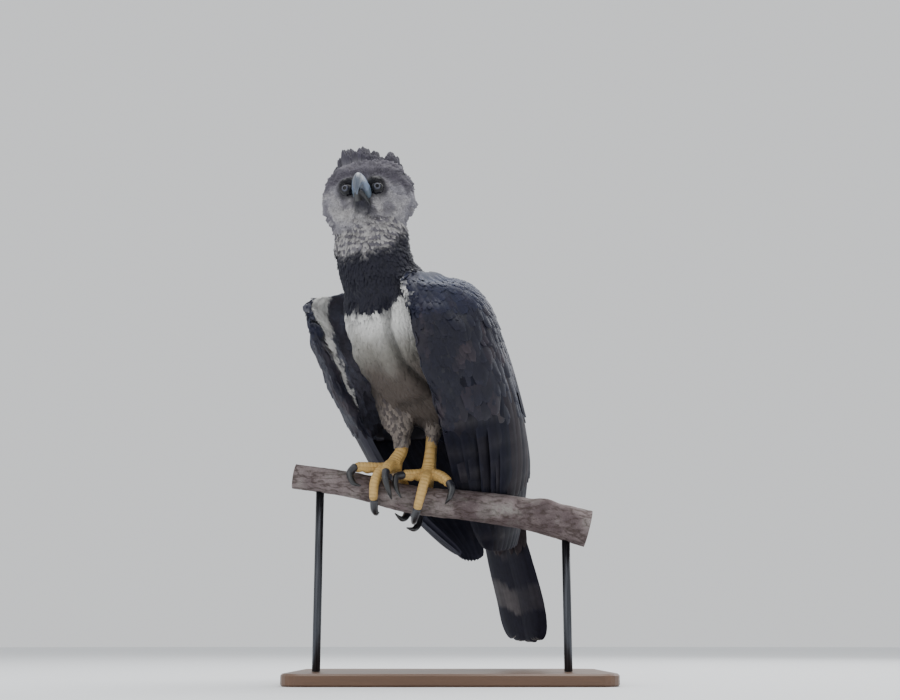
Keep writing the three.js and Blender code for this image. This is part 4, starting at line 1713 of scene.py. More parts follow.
class Coat:
    """Lays body feathers over the skin."""

    def __init__(self, skin: Skin, markings: MarkingsAndPaintedLight) -> None:
        """Keeps the skin and the markings, and starts the fixed random draws.

        Args:
            skin: The skin to cover.
            markings: The bird's markings.
        """
        self.skin = skin
        self.markings = markings
        self.rng = np.random.default_rng(SEED)
        self.spine = self.spine_line()

    @staticmethod
    def spine_line() -> tuple[Array, Array]:
        """Gives points along the middle of neck and trunk, and the way from head to tail.

        Returns:
            Points and directions, in the scene.
        """
        rows = np.array([r[:3] for r in NECK[::-1]] + [r[:3] for r in TRUNK[1:]] + [[10, 240, 20]], float)
        line = placed(BODY_FRAME, along(rows, np.linspace(0, 1, 120)))
        return line, unit(np.gradient(line, axis=0))

    def scatter(self, zones: Sequence[Zone], spacing: float,
                keep: Callable[[Array, Array], Array] | None = None) -> tuple[Array, Array]:
        """Picks evenly spaced places on the skin.

        Args:
            zones: The zones to cover.
            spacing: Least distance between places, in millimetres.
            keep: Tests positions and normals, and says which may be used.

        Returns:
            Positions and normals.
        """
        quads = self.skin.quads
        chosen = np.isin(self.skin.zones[quads[:, 0]], [z.value for z in zones])
        corners = quads[chosen]
        a, b, c, d = (self.skin.points[corners[:, k]] for k in range(4))
        area = np.linalg.norm(np.cross(c - a, d - b), axis=1) / 2
        count = int(4.0 * area.sum() / (spacing * MM) ** 2)
        pick = self.rng.choice(len(corners), count, p=area / area.sum())
        s, t = self.rng.random((2, count, 1))
        weights = [(1 - s) * (1 - t), s * (1 - t), s * t, (1 - s) * t]
        points = sum(w * p[pick] for w, p in zip(weights, (a, b, c, d)))
        normals = unit(sum(w * self.skin.normals[corners[pick, k]] for k, w in enumerate(weights)))
        if keep is not None:
            good = keep(points, normals)
            points, normals = points[good], normals[good]
        tree = KDTree(len(points))
        for k, p in enumerate(points.tolist()):
            tree.insert(p, k)
        tree.balance()
        free = np.ones(len(points), bool)
        used = []
        for k, p in enumerate(points.tolist()):
            if free[k]:
                used.append(k)
                for _, other, _ in tree.find_range(p, spacing * MM):
                    free[other] = False
        return points[used], normals[used]

    def nearest_spine(self, points: Array) -> Array:
        """Gives the number of the spine's point that is nearest to each point."""
        return np.argmin(((points[:, None] - self.spine[0][None]) ** 2).sum(-1), axis=1)

    def body_lie(self, points: Array) -> Array:
        """Gives the way down neck and trunk at points."""
        return self.spine[1][self.nearest_spine(points)]

    @staticmethod
    def head_lie(points: Array) -> Array:
        """Gives the way away from the bill, and down the throat, at points of the head.

        Args:
            points: Positions in the scene.

        Returns:
            One direction for each point.
        """
        q = seen_from(FACE_FRAME, points)
        away = q - np.array([0.0, -66.0, -6.0])
        down = ramp(-30, -60, q[:, 2])[:, None] * np.array([0.0, 0.25, -1.0]) * 60
        return unit(aimed(FACE_FRAME, away + down))

    def followed(self, points: Array, normals: Array, lie: Array, length: Array,
                 controls: int = 4) -> tuple[Array, Array]:
        """Walks along the skin from each root.

        Args:
            points: Roots.
            normals: The skin's normals there.
            lie: The way that each feather lies.
            length: Their lengths, in metres.
            controls: Points along each feather.

        Returns:
            Control points and normals, by feather and place.
        """
        centres = np.zeros((len(points), controls, 3))
        ups = np.zeros_like(centres)
        step = length / (controls - 1)
        way = unit(lie - normals * dot(lie, normals))
        centres[:, 0], ups[:, 0] = points, normals
        here, up = points, normals
        for k in range(1, controls):
            aim = here + way * step[:, None]
            found = [self.skin.tree.find_nearest(p) for p in aim.tolist()]
            surface = np.array([f[0] for f in found])
            facing = np.array([f[1] for f in found])
            facing = np.where(dot(facing, up) < 0, up, facing)
            up = unit(up + 1.2 * facing)
            here = np.where((np.linalg.norm(surface - aim, axis=1) < 0.5 * length)[:, None], surface, aim)
            way = unit(way - up * dot(way, up))
            centres[:, k], ups[:, k] = here, up
        return centres, ups

    def flock(self, points: Array, normals: Array, lie: Array, cover: Cover, tone: Callable[[Array], Array],
              patches: Array, scale: Array | float = 1.0, graded: bool = True) -> Shell:
        """Makes body feathers at roots on the skin.

        Args:
            points: Roots.
            normals: The skin's normals there.
            lie: The way that each feather lies.
            cover: The feathers' sizes.
            tone: Gives the markings at places on the skin.
            patches: Each root's place on the skin's unwrap.
            scale: Each feather's size, as a share of the cover's.
            graded: Whether the colour runs from the root's marking to the tip's.

        Returns:
            The feathers.
        """
        n = len(points)
        size = (1 + cover.vary * self.rng.uniform(-1, 1, n)) * scale
        length = cover.length * MM * size
        # Feathers of one clump lean the same way, and some clumps stand up more.
        clump = fractal(points, 0.016, 41, 2) - 0.5
        stray = (self.rng.normal(0, 0.09, n) + 3.0 * cover.clump * clump)[:, None]
        lie = unit(lie - normals * dot(lie, normals))
        lie = unit(lie + np.cross(normals, lie) * stray)
        centres, ups = self.followed(points, normals, lie, length)
        stand = 1 + 3.0 * cover.clump * (fractal(points, 0.02, 47, 2) - 0.5)
        lift = cover.lift * MM * size * self.rng.uniform(0.8, 1.2, n) * np.maximum(stand, 0.35)
        lifts = np.stack([np.full(n, -0.0008), lift], 1)
        grade = 1 + cover.shade * self.rng.uniform(-1, 1, (n, 1))
        body = tone(points) * grade
        end = tone(centres[:, -1]) * grade if graded else body

        def paint(s: Array, x: Array) -> Array:
            """Gives each feather a paler fringe and a darker shaft.

            Args:
                s: Places along the feather, from 0 at its root to 1.
                x: Places across it, from -1 to 1.

            Returns:
                Colours by feather and place.
            """
            sides = 0.6 * ramp(0.7, 1, np.abs(x)) * ramp(0.3, 0.7, s)
            fringe = np.maximum(ramp(0.8, 0.98, s), sides)
            shaft = cover.dark_shaft * np.exp(-((x / 0.25) ** 2)) + 0.12 * ramp(0.35, 0.0, s)
            mixed = body[:, None] + (end - body)[:, None] * ramp(0.1, 0.9, s)[None, :, None]
            pale = cover.pale_tip * fringe[None, :, None]
            return (mixed * (1 + 2.2 * pale) + 0.008 * pale) * (1 - shaft)[None, :, None]

        half = cover.width / 2 * MM * size * self.rng.uniform(0.9, 1.1, n)
        twist = self.rng.normal(0, 0.12, n)
        return Flock(cover.outline, centres, ups, half, lifts, paint, patches, twist=twist).shell(self.rng)

    def round_patch(self, points: Array) -> Array:
        """Gives places on an unwrap of neck and trunk: round the spine and along it.

        Args:
            points: Positions in the scene.

        Returns:
            One place for each point.
        """
        line, index = self.spine[0], self.nearest_spine(points)
        away = aimed(np.linalg.inv(BODY_FRAME), points - line[index])
        turn = np.arctan2(away[:, 0], -away[:, 1] - 0.6 * away[:, 2] * (index > 60))
        return np.stack([0.5 + 0.47 * turn / math.pi, 0.03 + 0.94 * index / len(line)], 1)

    @staticmethod
    def head_patch(points: Array) -> Array:
        """Gives places on an unwrap of the head: round the bill and back from it.

        Args:
            points: Positions in the scene.

        Returns:
            One place for each point.
        """
        q = seen_from(HEAD_FRAME, points)
        reach = np.arctan2(np.hypot(q[:, 0], q[:, 2]), -q[:, 1]) / math.pi
        turn = np.arctan2(q[:, 0], q[:, 2])
        return np.stack([0.5 + 0.47 * reach * np.sin(turn), 0.5 + 0.47 * reach * np.cos(turn)], 1)

    def free_of_eyes(self, points: Array, reach: float) -> Array:
        """Says which points keep away from eyes and bill.

        Args:
            points: Positions in the scene.
            reach: How far from an eye, in millimetres.

        Returns:
            One answer for each point.
        """
        q = seen_from(FACE_FRAME, points)
        clear = np.ones(len(q), bool)
        for sign in (1, -1):
            centre = eye_centre(sign) - [0, 3, 0]
            clear &= np.linalg.norm((q - centre) * [1, 0.6, 1], axis=1) > reach
        bill = (np.abs(q[:, 0]) < 13) & (q[:, 2] < 11) & (q[:, 2] > -24) & (q[:, 1] < -46)
        return clear & ~bill & (q[:, 1] > -62)

    def room(self, points: Array, length: float) -> Array:
        """Gives shorter lengths near the wings, as shares, so that the flanks stay behind them."""
        away = np.min([blade.distance(points) for blade in BLADE_MAPS.values()], axis=0)
        return np.clip(away / (0.9 * length * MM), 0.0, 1.0)


# Loose short feathers of the throat, and the longer ones below it.
TUFTED = Outline(5, 3, 0.35, 0.4, 1.9, ragged=0.2)
DOWNY = Outline(6, 3, 0.35, 0.4, 1.8, ragged=0.2)


@dataclass
class HeadCoat:
    """The feathers of the head: short on the face, longer on crown and ruff, and the raised crest."""

    coat: Coat
    face: Cover = Cover(11, 5.0, 2.6, 1.9, Outline(5, 3, ragged=0.15), 0.25, 0.1, 0.45)
    ruff: Cover = Cover(20, 8.5, 4.4, 4.4, Outline(6, 3, ragged=0.12), 0.2, 0.1, 0.5)
    crown: Cover = Cover(19, 8, 3.8, 5.2, Outline(6, 3, ragged=0.1), 0.2, 0.14, 0.6)
    throat: Cover = Cover(12, 5.6, 3.1, 2.6, TUFTED, 0.14, 0.1, 0.5)
    lore: Cover = Cover(6.5, 2.0, 1.5, 1.3, Outline(4, 3, broad=0.35, blunt=1.5, ragged=0.15), 0.1, 0.12, 0.3)
    # Rows of crest feathers: Y, how much lower than the outline their tips end, and their spacing.
    crest_rows: tuple[tuple[float, float, float], ...] = (
        (-26, 54, 5), (-18, 45, 5), (-10, 36, 5), (-3, 28, 5.5), (4, 20, 6),
        (11, 13, 7), (18, 6, 6.5), (25, 0, 5.5), (32, 4, 6.5), (39, 13, 7),
    )
    # The raised crest's outline from the front: X and height.
    outline_rows: tuple[tuple[float, float], ...] = (
        (-68, 92), (-63, 112), (-58, 133), (-48, 142), (-40, 138), (-34, 130), (-29, 138), (-20, 144),
        (-10, 138), (-4, 127), (4, 131), (12, 120), (22, 114), (32, 124), (42, 119), (50, 98), (56, 80),
    )

    def build(self) -> None:
        """Lays the head's feathers and shows them."""
        layers = (
            (self.face, 14.0, lambda q: (q[:, 1] < 4) & (q[:, 2] < 44) & (q[:, 2] > -44)),
            (self.throat, 14.0, lambda q: (q[:, 1] < 4) & (q[:, 2] <= -44)),
            (self.ruff, 22.0, lambda q: (q[:, 1] > -4) & (q[:, 2] < 46)),
            (self.crown, 22.0, lambda q: (q[:, 2] > 40) & (q[:, 1] < 40)),
            (self.ruff, 22.0, lambda q: (q[:, 2] > 44) & (q[:, 1] > 30)),
            (self.lore, 8.2, self.near_eyes),
        )
        shell = joined(self.layer(*row) for row in layers)
        finish = FeatherFinish("grey_face_feathers", 0.8, 0.1, "#dfe3ea").material()
        show("head_feathers", shell, finish)
        finish = FeatherFinish("crest_feathers", 0.6, 0.1, "#c2cbe0").material()
        piece = show("crest_feathers", self.crest(), finish)
        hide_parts("crest")

    @staticmethod
    def near_eyes(q: Array) -> Array:
        """Says which places lie in the rings of short feathers round eyes and bill.

        Args:
            q: Positions in the face's frame.

        Returns:
            One answer for each point.
        """
        across = np.abs(q[:, 0]) - EYE_PLACE[0]
        ring = np.hypot(across, q[:, 2]) < 18
        base = (np.abs(q[:, 0]) < 22) & (np.abs(q[:, 2] + 10) < 28)
        return (ring | base) & (q[:, 1] < -26)

    def layer(self, cover: Cover, clear: float, where: Callable[[Array], Array]) -> Shell:
        """Makes one cover of the head where a test on places in the face's frame holds.

        Args:
            cover: The feathers' sizes.
            clear: How far they keep from the eyes, in millimetres.
            where: The test.

        Returns:
            The surface.
        """
        coat = self.coat

        def keep(points: Array, normals: Array) -> Array:
            """Says which places this cover takes."""
            return where(seen_from(FACE_FRAME, points)) & coat.free_of_eyes(points, clear)

        points, normals = coat.scatter([Zone.HEAD], cover.spacing, keep)
        lie, patches = coat.head_lie(points), coat.head_patch(points)
        return coat.flock(points, normals, lie, cover, coat.markings.face, patches)

    def crest(self) -> Shell:
        """Makes the raised crest feathers, each from its root on the crown to its tip.

        Returns:
            The surface.
        """
        coat = self.coat
        line = np.array(self.outline_rows, float)
        rows = []
        for y, lower, step in self.crest_rows:
            for x in np.arange(-66, 54, step):
                x = x + coat.rng.uniform(-1.5, 1.5)
                top = np.interp(x, line[:, 0], line[:, 1]) - lower - coat.rng.uniform(0, 8)
                if y < 10 and abs(x + 6) > 52 + y:
                    continue
                width = coat.rng.uniform(6, 9.5) if y < 10 else coat.rng.uniform(11, 16)
                rows.append((x, y + coat.rng.uniform(-2, 2), top, width))
        rows = np.array(rows)
        n = len(rows)
        root = np.stack([0.78 * rows[:, 0], 0.8 * rows[:, 1] - 4, np.zeros(n)], 1)
        root[:, 2] = 60 - 0.0062 * root[:, 0] ** 2 - 0.006 * (root[:, 1] - 8) ** 2
        tip = rows[:, :3].copy()
        middle = (root + tip) / 2 + np.stack([0.03 * rows[:, 0], np.full(n, 5.0), np.zeros(n)], 1)
        curve = np.stack([root, root + (middle - root) * 0.66, middle + (tip - middle) * 0.34, tip], 1)
        face = np.stack([0.004 * rows[:, 0], np.full(n, -1.0), np.full(n, 0.18)], 1)
        ups = np.repeat(aimed(HEAD_FRAME, unit(face))[:, None], 4, axis=1)
        centres = placed(HEAD_FRAME, curve)
        ahead = 1 + 0.25 * ramp(14, -24, rows[:, 1])
        shade = coat.rng.uniform(0.8, 1.25, (n, 1, 1)) * ahead[:, None, None]

        def paint(s: Array, x: Array) -> Array:
            """Gives dark vanes with a paler base and a thin light edge.

            Args:
                s: Places along the feather, from 0 at its root to 1.
                x: Places across it, from -1 to 1.

            Returns:
                Colours by feather and place.
            """
            base = blend(0.6 * Tone.FACE, Tone.CREST, ramp(0.2, 0.8, s))
            rim = np.maximum(ramp(0.9, 1.0, s), ramp(0.7, 1, np.abs(x)) * 0.6)
            return blend(base, Tone.FACE, 0.2 * rim)[None] * shade

        outline = Outline(9, 5, 0.45, 0.6, 2.0, 0.0004, 0.3, 0.14)
        patches, twist = coat.head_patch(centres[:, 0]), coat.rng.normal(0, 0.22, n)
        half, flat = rows[:, 3] / 2 * MM, np.zeros((n, 2))
        return Flock(outline, centres, ups, half, flat, paint, patches, twist=twist).shell(coat.rng)


@dataclass
class BodyCoat:
    """The feathers of neck, breast, belly, back and thighs."""

    coat: Coat
    throat: Cover = Cover(13, 6.2, 3.3, 3.0, TUFTED, 0.14, 0.1, 0.55)
    neck: Cover = Cover(16, 6.6, 3.5, 2.8, DOWNY, 0.12, 0.07, 0.5)
    belly: Cover = Cover(23, 8.5, 4.3, 1.8, DOWNY, 0.04, 0.03, 0.35, dark_shaft=0.02)
    back: Cover = Cover(42, 21, 9.5, 4.2, Outline(7, 5, ragged=0.05), 0.2, 0.12, 0.2)
    thigh: Cover = Cover(20, 7.5, 3.9, 3.0, Outline(6, 3, ragged=0.16), 0.1, 0.06, 0.4)

    def build(self) -> None:
        """Lays the body's feathers and shows them."""
        pale = FeatherFinish("soft_white_feathers", 0.88, 0.08, "#ffffff", 0.07, 0.06).material()
        dark = FeatherFinish("black_breast_feathers", 0.6, 0.06, "#c6cede").material()
        slate = FeatherFinish("slate_back_feathers", 0.52, 0.12, "#bcc8e2").material()
        neck = joined([
            self.layer([Zone.NECK], self.neck, lambda q: (q[:, 2] > 296) & (q[:, 2] < 366)),
            self.layer([Zone.NECK, Zone.TRUNK], self.throat, lambda q: q[:, 2] >= 366),
            self.layer([Zone.TRUNK], self.neck, lambda q: (q[:, 2] > 284) & (q[:, 1] < -40)),
        ])
        show("neck_feathers", neck, dark)
        under = self.layer([Zone.TRUNK], self.belly, lambda q: (q[:, 2] <= 300) & ~self.behind(q))
        show("belly_feathers", under, pale)
        over = self.layer([Zone.TRUNK], self.back, self.behind)
        show("back_feathers", over, slate)
        for side, zone in (("left", Zone.THIGH_LEFT), ("right", Zone.THIGH_RIGHT)):
            show(f"thigh_feathers_{side}", self.leggings(side, zone), pale)

    @staticmethod
    def behind(q: Array) -> Array:
        """Says which places lie on the bird's back."""
        return q[:, 1] > -18 + 0.32 * (300 - q[:, 2])

    def layer(self, zones: Sequence[Zone], cover: Cover, where: Callable[[Array], Array]) -> Shell:
        """Makes one cover where a test on places in the body's frame holds.

        Args:
            zones: The zones to cover.
            cover: The feathers' sizes.
            where: The test.

        Returns:
            The surface.
        """
        coat = self.coat
        points, normals = coat.scatter(zones, cover.spacing,
                                       lambda p, n: where(seen_from(BODY_FRAME, p)) & self.exposed(p))
        room = coat.room(points, cover.length)
        points, normals, room = (a[room > 0.08] for a in (points, normals, room))
        lie, patches = coat.body_lie(points), coat.round_patch(points)
        return coat.flock(points, normals, lie, cover, coat.markings.front, patches, np.maximum(room, 0.4))

    def exposed(self, points: Array) -> Array:
        """Says which places are not buried under the head."""
        q = seen_from(HEAD_FRAME, points)
        return (q[:, 2] < -38) | (q[:, 1] > 52)

    def leggings(self, side: str, zone: Zone) -> Shell:
        """Makes one thigh's feathers, down to a loose cuff over the shank.

        Args:
            side: Left or right.
            zone: The thigh's zone.

        Returns:
            The surface.
        """
        coat = self.coat
        line = np.array(THIGHS[side], float)[:, :3]
        points, normals = coat.scatter([zone], self.thigh.spacing)
        q = seen_from(PERCH_FRAME, points)
        t = np.clip((line[0, 2] - q[:, 2]) / (line[0, 2] - line[-1, 2]), 0, 1)
        lie = unit(along(line, t + 0.03) - along(line, t - 0.03))
        turn = np.arctan2(q[:, 0] - along(line, t)[:, 0], -(q[:, 1] - along(line, t)[:, 1]))
        patches = np.stack([0.5 + 0.47 * turn / math.pi, 0.97 - 0.94 * t], 1)
        scale = 1.15 - 0.45 * ramp(0.3, 0.95, t)
        return coat.flock(points, normals, lie, self.thigh, coat.markings.thigh, patches, scale, graded=False)


@dataclass
class WingCoat:
    """One folded wing: coverts over the arm, then greater coverts, secondaries and primaries."""

    coat: Coat
    side: str
    lesser: Cover = Cover(27, 14, 6.4, 2.2, Outline(6, 5, ragged=0.05), 0.14, 0.08, 0.2)
    median: Cover = Cover(44, 20, 9.8, 2.8, Outline(7, 5, ragged=0.04), 0.15, 0.09, 0.2)
    greater: Cover = Cover(74, 27, 13.5, 3.4, Outline(10, 5, ragged=0.03), 0.16, 0.1, 0.15)
    lining: Cover = Cover(28, 14, 7.5, 3.0, Outline(6, 3, ragged=0.08), 0.16, 0.14, 0.2)
    edge: Cover = Cover(12, 5.6, 3.1, 3.4, Outline(5, 3, ragged=0.18), 0.06, 0.05, 0.5)
    front: Cover = Cover(32, 11, 5.8, 1.8, Outline(6, 3, ragged=0.05), 0.1, 0.07, 0.1)
    long_outline: Outline = Outline(26, 7, 0.6, 0.82, 2.2, 0.0004, 0.14, 0.012)
    long_counts: tuple[int, int, int] = (10, 15, 6)

    def build(self) -> None:
        """Lays the wing's feathers and shows them."""
        coat, side = self.coat, self.side
        slate = FeatherFinish(f"slate_wing_coverts_{side}", 0.55, 0.1, "#b4c2e2").material()
        flight = FeatherFinish(f"flight_feathers_{side}", 0.6, 0.03, "#b4c2e2", 0.12, 0.1, 0.12).material()
        white = FeatherFinish(f"white_wing_edge_{side}", 0.85, 0.08, "#ffffff", 0.08, 0.06).material()
        reach, right = coat.markings.reach, side == "right"

        def rim(v: Array) -> Array:
            """Gives how far the dark coverts reach round the front edge."""
            upper = coat.markings.first(v) - 0.08 if right else 0.24 + 0.28 * ramp(0.2, 0.32, v)
            return np.where(v > (0.64 if right else 0.5), 0.7, upper)

        coverts = joined(self.covert(*row) for row in (
            (self.lesser, lambda u, v, i: (i < np.where(u < 0.03, rim(v), 0.5)) & (v < 0.24)),
            (self.front, lambda u, v, i: (i < rim(v)) & (v > 0.2) & (v < 0.59) & (u < 0.13)),
            (self.median, lambda u, v, i: (i < 0.5) & (v >= 0.19) & (v < 0.4) & (u > 0.06)),
            (self.greater, lambda u, v, i: (i < 0.5) & (v >= 0.34) & (v < 0.55 - 0.1 * u) & (u > 0.08)),
        ))
        lining = self.covert(self.lining, lambda u, v, i: (
            (i > 0.5) & (u > reach(v, side) + 0.02) & (v > 0.04) & (v < 0.59)))
        fringe = self.covert(self.edge, lambda u, v, i: (u < reach(v, side) + 0.04) & (i > rim(v) - 0.05))
        show(f"wing_coverts_{side}", coverts, slate)
        show(f"wing_lining_{side}", lining, slate)
        show(f"wing_edge_{side}", fringe, white)
        show(f"flight_feathers_{side}", self.long_feathers(), flight)

    def covert(self, cover: Cover, where: Callable[[Array, Array, Array], Array]) -> Shell:
        """Makes one cover of the arm where a test on u, v and the inner face holds.

        Args:
            cover: The feathers' sizes.
            where: The test.

        Returns:
            The surface.
        """
        coat = self.coat
        zone = Zone.WING_LEFT if self.side == "left" else Zone.WING_RIGHT
        points, normals = coat.scatter([zone], cover.spacing)
        u, v, inner, down = BLADE_MAPS[self.side].find(points)
        good = where(u, v + 0.09 * (noise(points, 0.03, 61) - 0.5), inner)
        points, normals, u, v, inner, down = (a[good] for a in (points, normals, u, v, inner, down))
        patches = np.stack([np.where(inner > 0.5, 0.52, 0.02) + 0.46 * u, 0.98 - 0.96 * v], 1)
        tone = partial(zone_colours, coat.markings, zone)
        return coat.flock(points, normals, down, cover, tone, patches)

    def vane(self, u0: float, v0: float, u1: float, v1: float, layer: float) -> tuple[Array, Array]:
        """Places one long feather on the outer face.

        Args:
            u0: Its root's place from the front edge to the rear one.
            v0: Its root's place from the top to the tips.
            u1: Its tip's place across.
            v1: Its tip's place down.
            layer: How high its tip lies over the face, in metres.

        Returns:
            Control points and normals.
        """
        blade = WING_BLADES[self.side]
        k = np.linspace(0, 1, 9)
        bow = 0.012 * np.sin(np.pi * k)
        points, normals, _, _ = blade.sheet(by_arc(blade, u0 + (u1 - u0) * k + bow), v0 + (v1 - v0) * k)
        rise = -0.0045 + (layer + 0.0045) * k ** 0.5
        return points + normals * rise[:, None], normals

    def long_feathers(self) -> Shell:
        """Makes primaries, secondaries and tertials.

        Returns:
            The surface.
        """
        # Each row holds a root and a tip on the blade, the layer, the width and the kind.
        primaries, secondaries, tertials = (np.linspace(0, 1, count) for count in self.long_counts)
        rows = [
            (0.06 + 0.62 * k, 0.42, 0.03 + 0.97 * k, 1.0 - 0.02 * k ** 2, 0.0015 * k - 0.0015, 34 - 2 * k, 0)
            for k in primaries
        ] + [
            (0.1 + 0.86 * k, 0.4, 0.09 + 0.9 * k, 0.86 - 0.12 * k ** 1.5, 0.0006 + 0.0028 * k, 34, 1)
            for k in secondaries
        ] + [
            (0.66 + 0.3 * k, 0.3, 0.62 + 0.39 * k, 0.6 + 0.13 * k ** 2, 0.004 + 0.002 * k, 40, 2)
            for k in tertials
        ]
        rng, n = self.coat.rng, len(rows)
        centres, ups = (np.array(a) for a in zip(*(self.vane(*row[:5]) for row in rows)))
        widths, kinds = np.array(rows)[:, 5], np.array(rows)[:, 6].astype(int)
        lifts = np.stack([np.zeros(n), np.full(n, 0.0012)], 1)
        if self.side == "left":
            centres = behind_perch(centres)
        # The right wing's flight feathers are painted lighter than the left's, as fill light on their
        # undersides in shade
        dark, worn = linear("#131420" if self.side == "left" else "#292a37"), linear("#332d30")
        share = rng.uniform(0, 1, n) ** 2 * np.array([0.25, 0.9, 0.5])[kinds]
        base = blend(dark, worn, share) * rng.uniform(0.85, 1.15, (n, 1))
        rim = base * np.array([1.5, 1.7, 2.6])[kinds][:, None] + 0.01
        bar = rng.uniform(0, 0.12, n)

        def paint(s: Array, x: Array) -> Array:
            """Gives dark vanes with a paler edge, faint bars and a dark shaft.

            Args:
                s: Places along the feather, from 0 at its root to 1.
                x: Places across it, from -1 to 1.

            Returns:
                Colours by feather and place.
            """
            edge = np.maximum(ramp(0.84, 1.0, np.abs(x)) * 0.5, ramp(0.96, 1.0, s) * 0.9)
            out = base[:, None] + (rim - base)[:, None] * edge[None, :, None]
            bars = ramp(0.2, 0.9, np.sin(s * 2 * math.pi * 7)) * ramp(0.3, 0.5, s)
            out = blend(out, Tone.GREY_BAND, bar[:, None] * bars * (1 - 0.6 * np.abs(x)))
            return out * (1 - 0.25 * np.exp(-((x / 0.1) ** 2)))[None, :, None]

        half = widths / 2 * MM
        flock = Flock(self.long_outline, centres, ups, half, lifts, paint, *strips(n), lift_power=3.0)
        return flock.shell(rng)


@dataclass
class TailCoat:
    """Twelve banded tail feathers with the coverts over and under their roots."""

    coat: Coat
    count: int = 12
    outline: Outline = Outline(40, 7, 0.6, 0.88, 2.4, 0.0004, 0.08, 0.012)
    bands: tuple[tuple[float, float], ...] = ((0.14, 0.22), (0.37, 0.46), (0.61, 0.75))

    def build(self) -> None:
        """Lays the tail's feathers and shows them in the place of its solid."""
        rng, n = self.coat.rng, self.count
        centres, ups = [], []
        k = np.linspace(0, 1, 12)
        share = np.linspace(0, 1, n)
        for i in range(n):
            away = 2 * i / (n - 1) - 1
            reach = 1.0 - 0.05 * away ** 2 - 0.012 * (i % 3 == 1) - 0.02 * (i % 4 == 2)
            u, v = 0.5 + away / 2 * (0.5 + 0.26 * k), 0.02 + (reach - 0.02) * k
            points, normals, _, _ = TAIL_BLADE.sheet(u, v)
            height = -0.0028 * (1 - abs(away)) - 0.3 * TAIL_BLADE.thickness(u, v)
            centres.append(points + normals * height[:, None])
            ups.append(normals)
        half = (15.0 + 1.5 * (np.arange(n) % 2)) * MM
        dark, pale = linear("#1a1a28"), linear("#5e5a5c")
        white = linear("#9d9994")
        shade = rng.uniform(0.88, 1.12, (n, 1, 1))
        strength = (0.25 + 0.75 * ramp(0.35, 0.6, share)) * rng.uniform(0.75, 1.1, n)
        shift = rng.uniform(-0.022, 0.022, (n, 1))

        def paint(s: Array, x: Array) -> Array:
            """Gives three grey bands and a thin pale tip.

            Args:
                s: Places along the feather, from 0 at its root to 1.
                x: Places across it, from -1 to 1.

            Returns:
                Colours by feather and place.
            """
            at = s + shift + 0.012 * np.sin(9 * x)
            band = sum(ramp(a - 0.014, a + 0.014, at) * ramp(b + 0.014, b - 0.014, at)
                       for a, b in self.bands)
            weight = band * np.where(s < 0.5, 0.45, 1.0) * (1 - 0.35 * np.abs(x))
            out = blend(dark, pale, strength[:, None] * weight)
            out = blend(out, white, 0.6 * ramp(0.98, 1.0, s))
            return out * (1 - 0.25 * np.exp(-((x / 0.09) ** 2)))[None, :, None] * shade

        rows, lifts = (np.array(centres), np.array(ups)), np.zeros((n, 2))
        flock = Flock(self.outline, *rows, half, lifts, paint, *strips(n))
        finish = FeatherFinish("banded_tail_feathers", 0.58, 0.03, "#b4c2e2", 0.14, 0.1, 0.15).material()
        piece = show("tail_feathers", flock.shell(rng), finish)
        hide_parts("tail")
        show("undertail_coverts", self.coverts(True), finish)
        show("uppertail_coverts", self.coverts(False), finish)

    def coverts(self, under: bool) -> Shell:
        """Makes the soft coverts over the tail's root.

        Args:
            under: Whether they lie on its under side, which faces forward.

        Returns:
            The surface.
        """
        rng = self.coat.rng
        centres, ups = [], []
        k = np.linspace(0, 1, 6)
        # Where each row's roots and tips lie down the tail.
        rows = ((0.1, 0.33), (0.04, 0.23), (0.0, 0.13))
        if under:
            rows = ((0.2, 0.44), (0.12, 0.34), (0.05, 0.24), (0.0, 0.15))
        for level, (v0, v1) in enumerate(rows):
            for share in np.linspace(0.0, 1.0, 11 - level % 2):
                u = 0.5 + (share - 0.5) * (0.86 - 0.12 * k) + rng.uniform(-0.02, 0.02)
                v = v0 + (v1 - v0) * k * rng.uniform(0.85, 1.1)
                points, normals, _, _ = TAIL_BLADE.sheet(u, v)
                facing = 1.0 if under else -1.0
                depth = 0.0 * u if under else 0.92 * TAIL_BLADE.thickness(u, v)
                rise = (depth + 0.0012 * (level + 1) + 0.002 * k)[:, None]
                centres.append(points + normals * facing * rise)
                ups.append(normals * facing)
        n = len(centres)
        base = Tone.VENT if under else Tone.SLATE
        body = blend(base, Tone.BROWN, 0.4 * rng.uniform(0, 1, n) ** 2)

        def paint(s: Array, x: Array) -> Array:
            """Gives dark vanes with a slightly paler fringe.

            Args:
                s: Places along the feather, from 0 at its root to 1.
                x: Places across it, from -1 to 1.

            Returns:
                Colours by feather and place.
            """
            fringe = np.maximum(ramp(0.85, 1, s), 0.6 * ramp(0.75, 1, np.abs(x)))
            return body[:, None] * (1 + 0.5 * fringe)[None, :, None]

        middle = np.array(centres)[:, 0]
        q = seen_from(BODY_FRAME, middle)
        patches = np.stack([0.5 + q[:, 0] / 260, 0.5 + q[:, 2] / 400 + (0.0 if under else 0.01)], 1)
        outline = Outline(8, 5, 0.4, 0.5, 2.0, 0.0004, 0.22, 0.08)
        half = rng.uniform(9, 12, n) * MM
        flock = Flock(outline, np.array(centres), np.array(ups), half, np.zeros((n, 2)), paint, patches)
        return flock.shell(rng)


